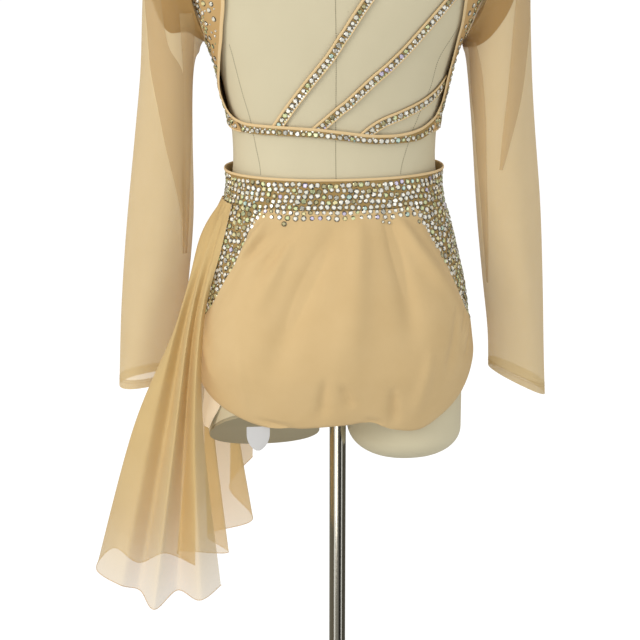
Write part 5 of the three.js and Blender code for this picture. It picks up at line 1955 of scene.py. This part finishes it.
@dataclass
class Studio:
    """The camera, a pale floor and soft white light."""

    aim: tuple[float, float, float] = (-0.02148, 0.00226, 0.8142)
    direction: tuple[float, float, float] = (0.10097, 0.96064, -0.25882)
    distance: float = 2.2
    lens: float = 103.125
    sensor: float = 36.0
    floor_half: float = 40.0
    floor_z: float = -0.5 * MM
    floor_colour: str = "#9a9a9a"
    floor_glow: float = 0.8
    sky_foot: str = "#cfcfcc"
    sky_top: str = "#dedede"
    backdrop: str = "#f4f4f4"
    # name, place, size, power, colour
    lamps: tuple = (
        ("key_softbox", (-2.8, -1.8, 2.2), 1.5, 50.0, "#fff9f0"),
        ("fill_softbox", (2.9, -2.0, 1.2), 1.8, 14.0, "#fffdf8"),
        ("low_softbox", (-0.9, -2.3, 0.3), 1.0, 10.0, "#fffaf2"),
        ("back_softbox", (0.9, 2.8, 2.6), 1.8, 20.0, "#ffffff"),
    )
    # share of the turn round the stand from the front, and the room's grey low down there
    room: tuple = (
        (0.00, "#848176"), (0.30, "#6b6558"), (0.345, "#5e5543"), (0.352, "#ffffff"), (0.398, "#ffffff"),
        (0.41, "#939088"), (0.50, "#8d8b85"), (0.53, "#6e6c68"), (0.555, "#1f1f1d"), (0.625, "#1f1f1d"),
        (0.64, "#ffffff"), (0.66, "#ffffff"), (0.675, "#47443b"), (0.85, "#5c5952"), (1.0, "#848176"),
    )

    def camera(self) -> None:
        """The camera, aimed along its direction."""
        data = bpy.data.cameras.new("camera")
        data.lens, data.sensor_width, data.clip_end = self.lens, self.sensor, 200.0
        camera = bpy.data.objects.new("camera", data)
        way = Vector(self.direction)
        camera.location = Vector(self.aim) - way * self.distance
        camera.rotation_euler = way.to_track_quat("-Z", "Y").to_euler()
        bpy.context.scene.collection.objects.link(camera)
        bpy.context.scene.camera = camera

    def floor(self) -> None:
        """A wide matt floor under the base."""
        h = self.floor_half
        mesh = bpy.data.meshes.new("pale_floor")
        corners = [(x, y, self.floor_z) for x, y in ((-h, -h), (h, -h), (h, h), (-h, h))]
        mesh.from_pydata(corners, [], [(0, 1, 2, 3)])
        material, _ = new_material("matt_pale_floor", {
            "Base Color": linear(self.floor_colour), "Roughness": 0.9, "Specular IOR Level": 0.1,
            "Emission Color": linear("#ffffff"), "Emission Strength": self.floor_glow})
        mesh.materials.append(material)
        thing = bpy.data.objects.new("pale_floor", mesh)
        thing.visible_diffuse = thing.visible_glossy = False
        bpy.context.scene.collection.objects.link(thing)

    def lights(self) -> None:
        """Large square lamps aimed at the costume."""
        for name, place, size, power, colour in self.lamps:
            data = bpy.data.lights.new(name, "AREA")
            data.shape, data.size, data.energy = "SQUARE", size, power
            data.color = linear(colour)[:3]
            lamp = bpy.data.objects.new(name, data)
            lamp.location = place
            lamp.rotation_euler = (Vector(self.aim) - Vector(place)).to_track_quat("-Z", "Y").to_euler()
            bpy.context.scene.collection.objects.link(lamp)

    def surround(self) -> None:
        """The room: white overhead, and low down a ring of greys for the pole to throw back."""
        world = bpy.data.worlds.new("studio_room")
        world.use_nodes = True
        tree = world.node_tree
        tree.nodes.clear()
        place = add_node(tree, "TexCoord").outputs["Generated"]
        x, y, z = add_node(tree, "SeparateXYZ", links={0: place}).outputs
        front = add_node(tree, "Math", {"operation": "MULTIPLY", 1: -1.0}, {0: y})
        turn = add_node(tree, "Math", {"operation": "ARCTAN2"}, {0: x, 1: front})
        share = add_node(tree, "Math", {"operation": "MULTIPLY_ADD", 1: 0.5 / math.pi, 2: 0.5}, {0: turn})
        ring = add_node(tree, "ValToRGB", links={0: share})
        set_stops(ring, [(at, linear(code)) for at, code in self.room])
        high = add_node(tree, "MapRange", {1: -0.05, 2: 0.75, 3: 0.0, 4: 1.0}, {0: z})
        sky = add_node(tree, "Mix", {"data_type": "RGBA", 6: linear(self.sky_foot),
                                     7: linear(self.sky_top)}, {0: high})
        low = add_node(tree, "MapRange", {1: -0.12, 2: -0.02, 3: 0.0, 4: 1.0}, {0: z})
        rays = add_node(tree, "LightPath").outputs
        soft = add_node(tree, "Math", {"operation": "MAXIMUM"}, {0: low, 1: rays["Is Diffuse Ray"]})
        room = add_node(tree, "Mix", {"data_type": "RGBA"}, {0: soft, 6: ring, 7: sky.outputs[2]})
        shown = add_node(tree, "Mix", {"data_type": "RGBA", 7: linear(self.backdrop)},
                         {0: rays["Is Camera Ray"], 6: room.outputs[2]})
        back = add_node(tree, "Background", {"Strength": 1.0}, {"Color": shown.outputs[2]})
        add_node(tree, "OutputWorld", links={"Surface": back.outputs[0]})
        bpy.context.scene.world = world

    def build(self) -> None:
        """Makes the studio."""
        self.camera()
        self.floor()
        self.lights()
        self.surround()
        bpy.context.scene.view_settings.view_transform = "Standard"
        bpy.context.scene.cycles.transparent_max_bounces = 24


def main() -> None:
    """Builds the costume, its form and the studio."""
    logging.basicConfig(level=logging.INFO, format="%(message)s")
    Studio().build()
    Form().build()
    Stand().build()
    Bodice().build()
    Straps().build()
    Waistband().build()
    Brief().build()
    Overlay().build()
    Drape().build()
    for side in Side:
        Sleeve(side).build()
    LeftLeg().build()


if __name__ == "__main__":
    main()
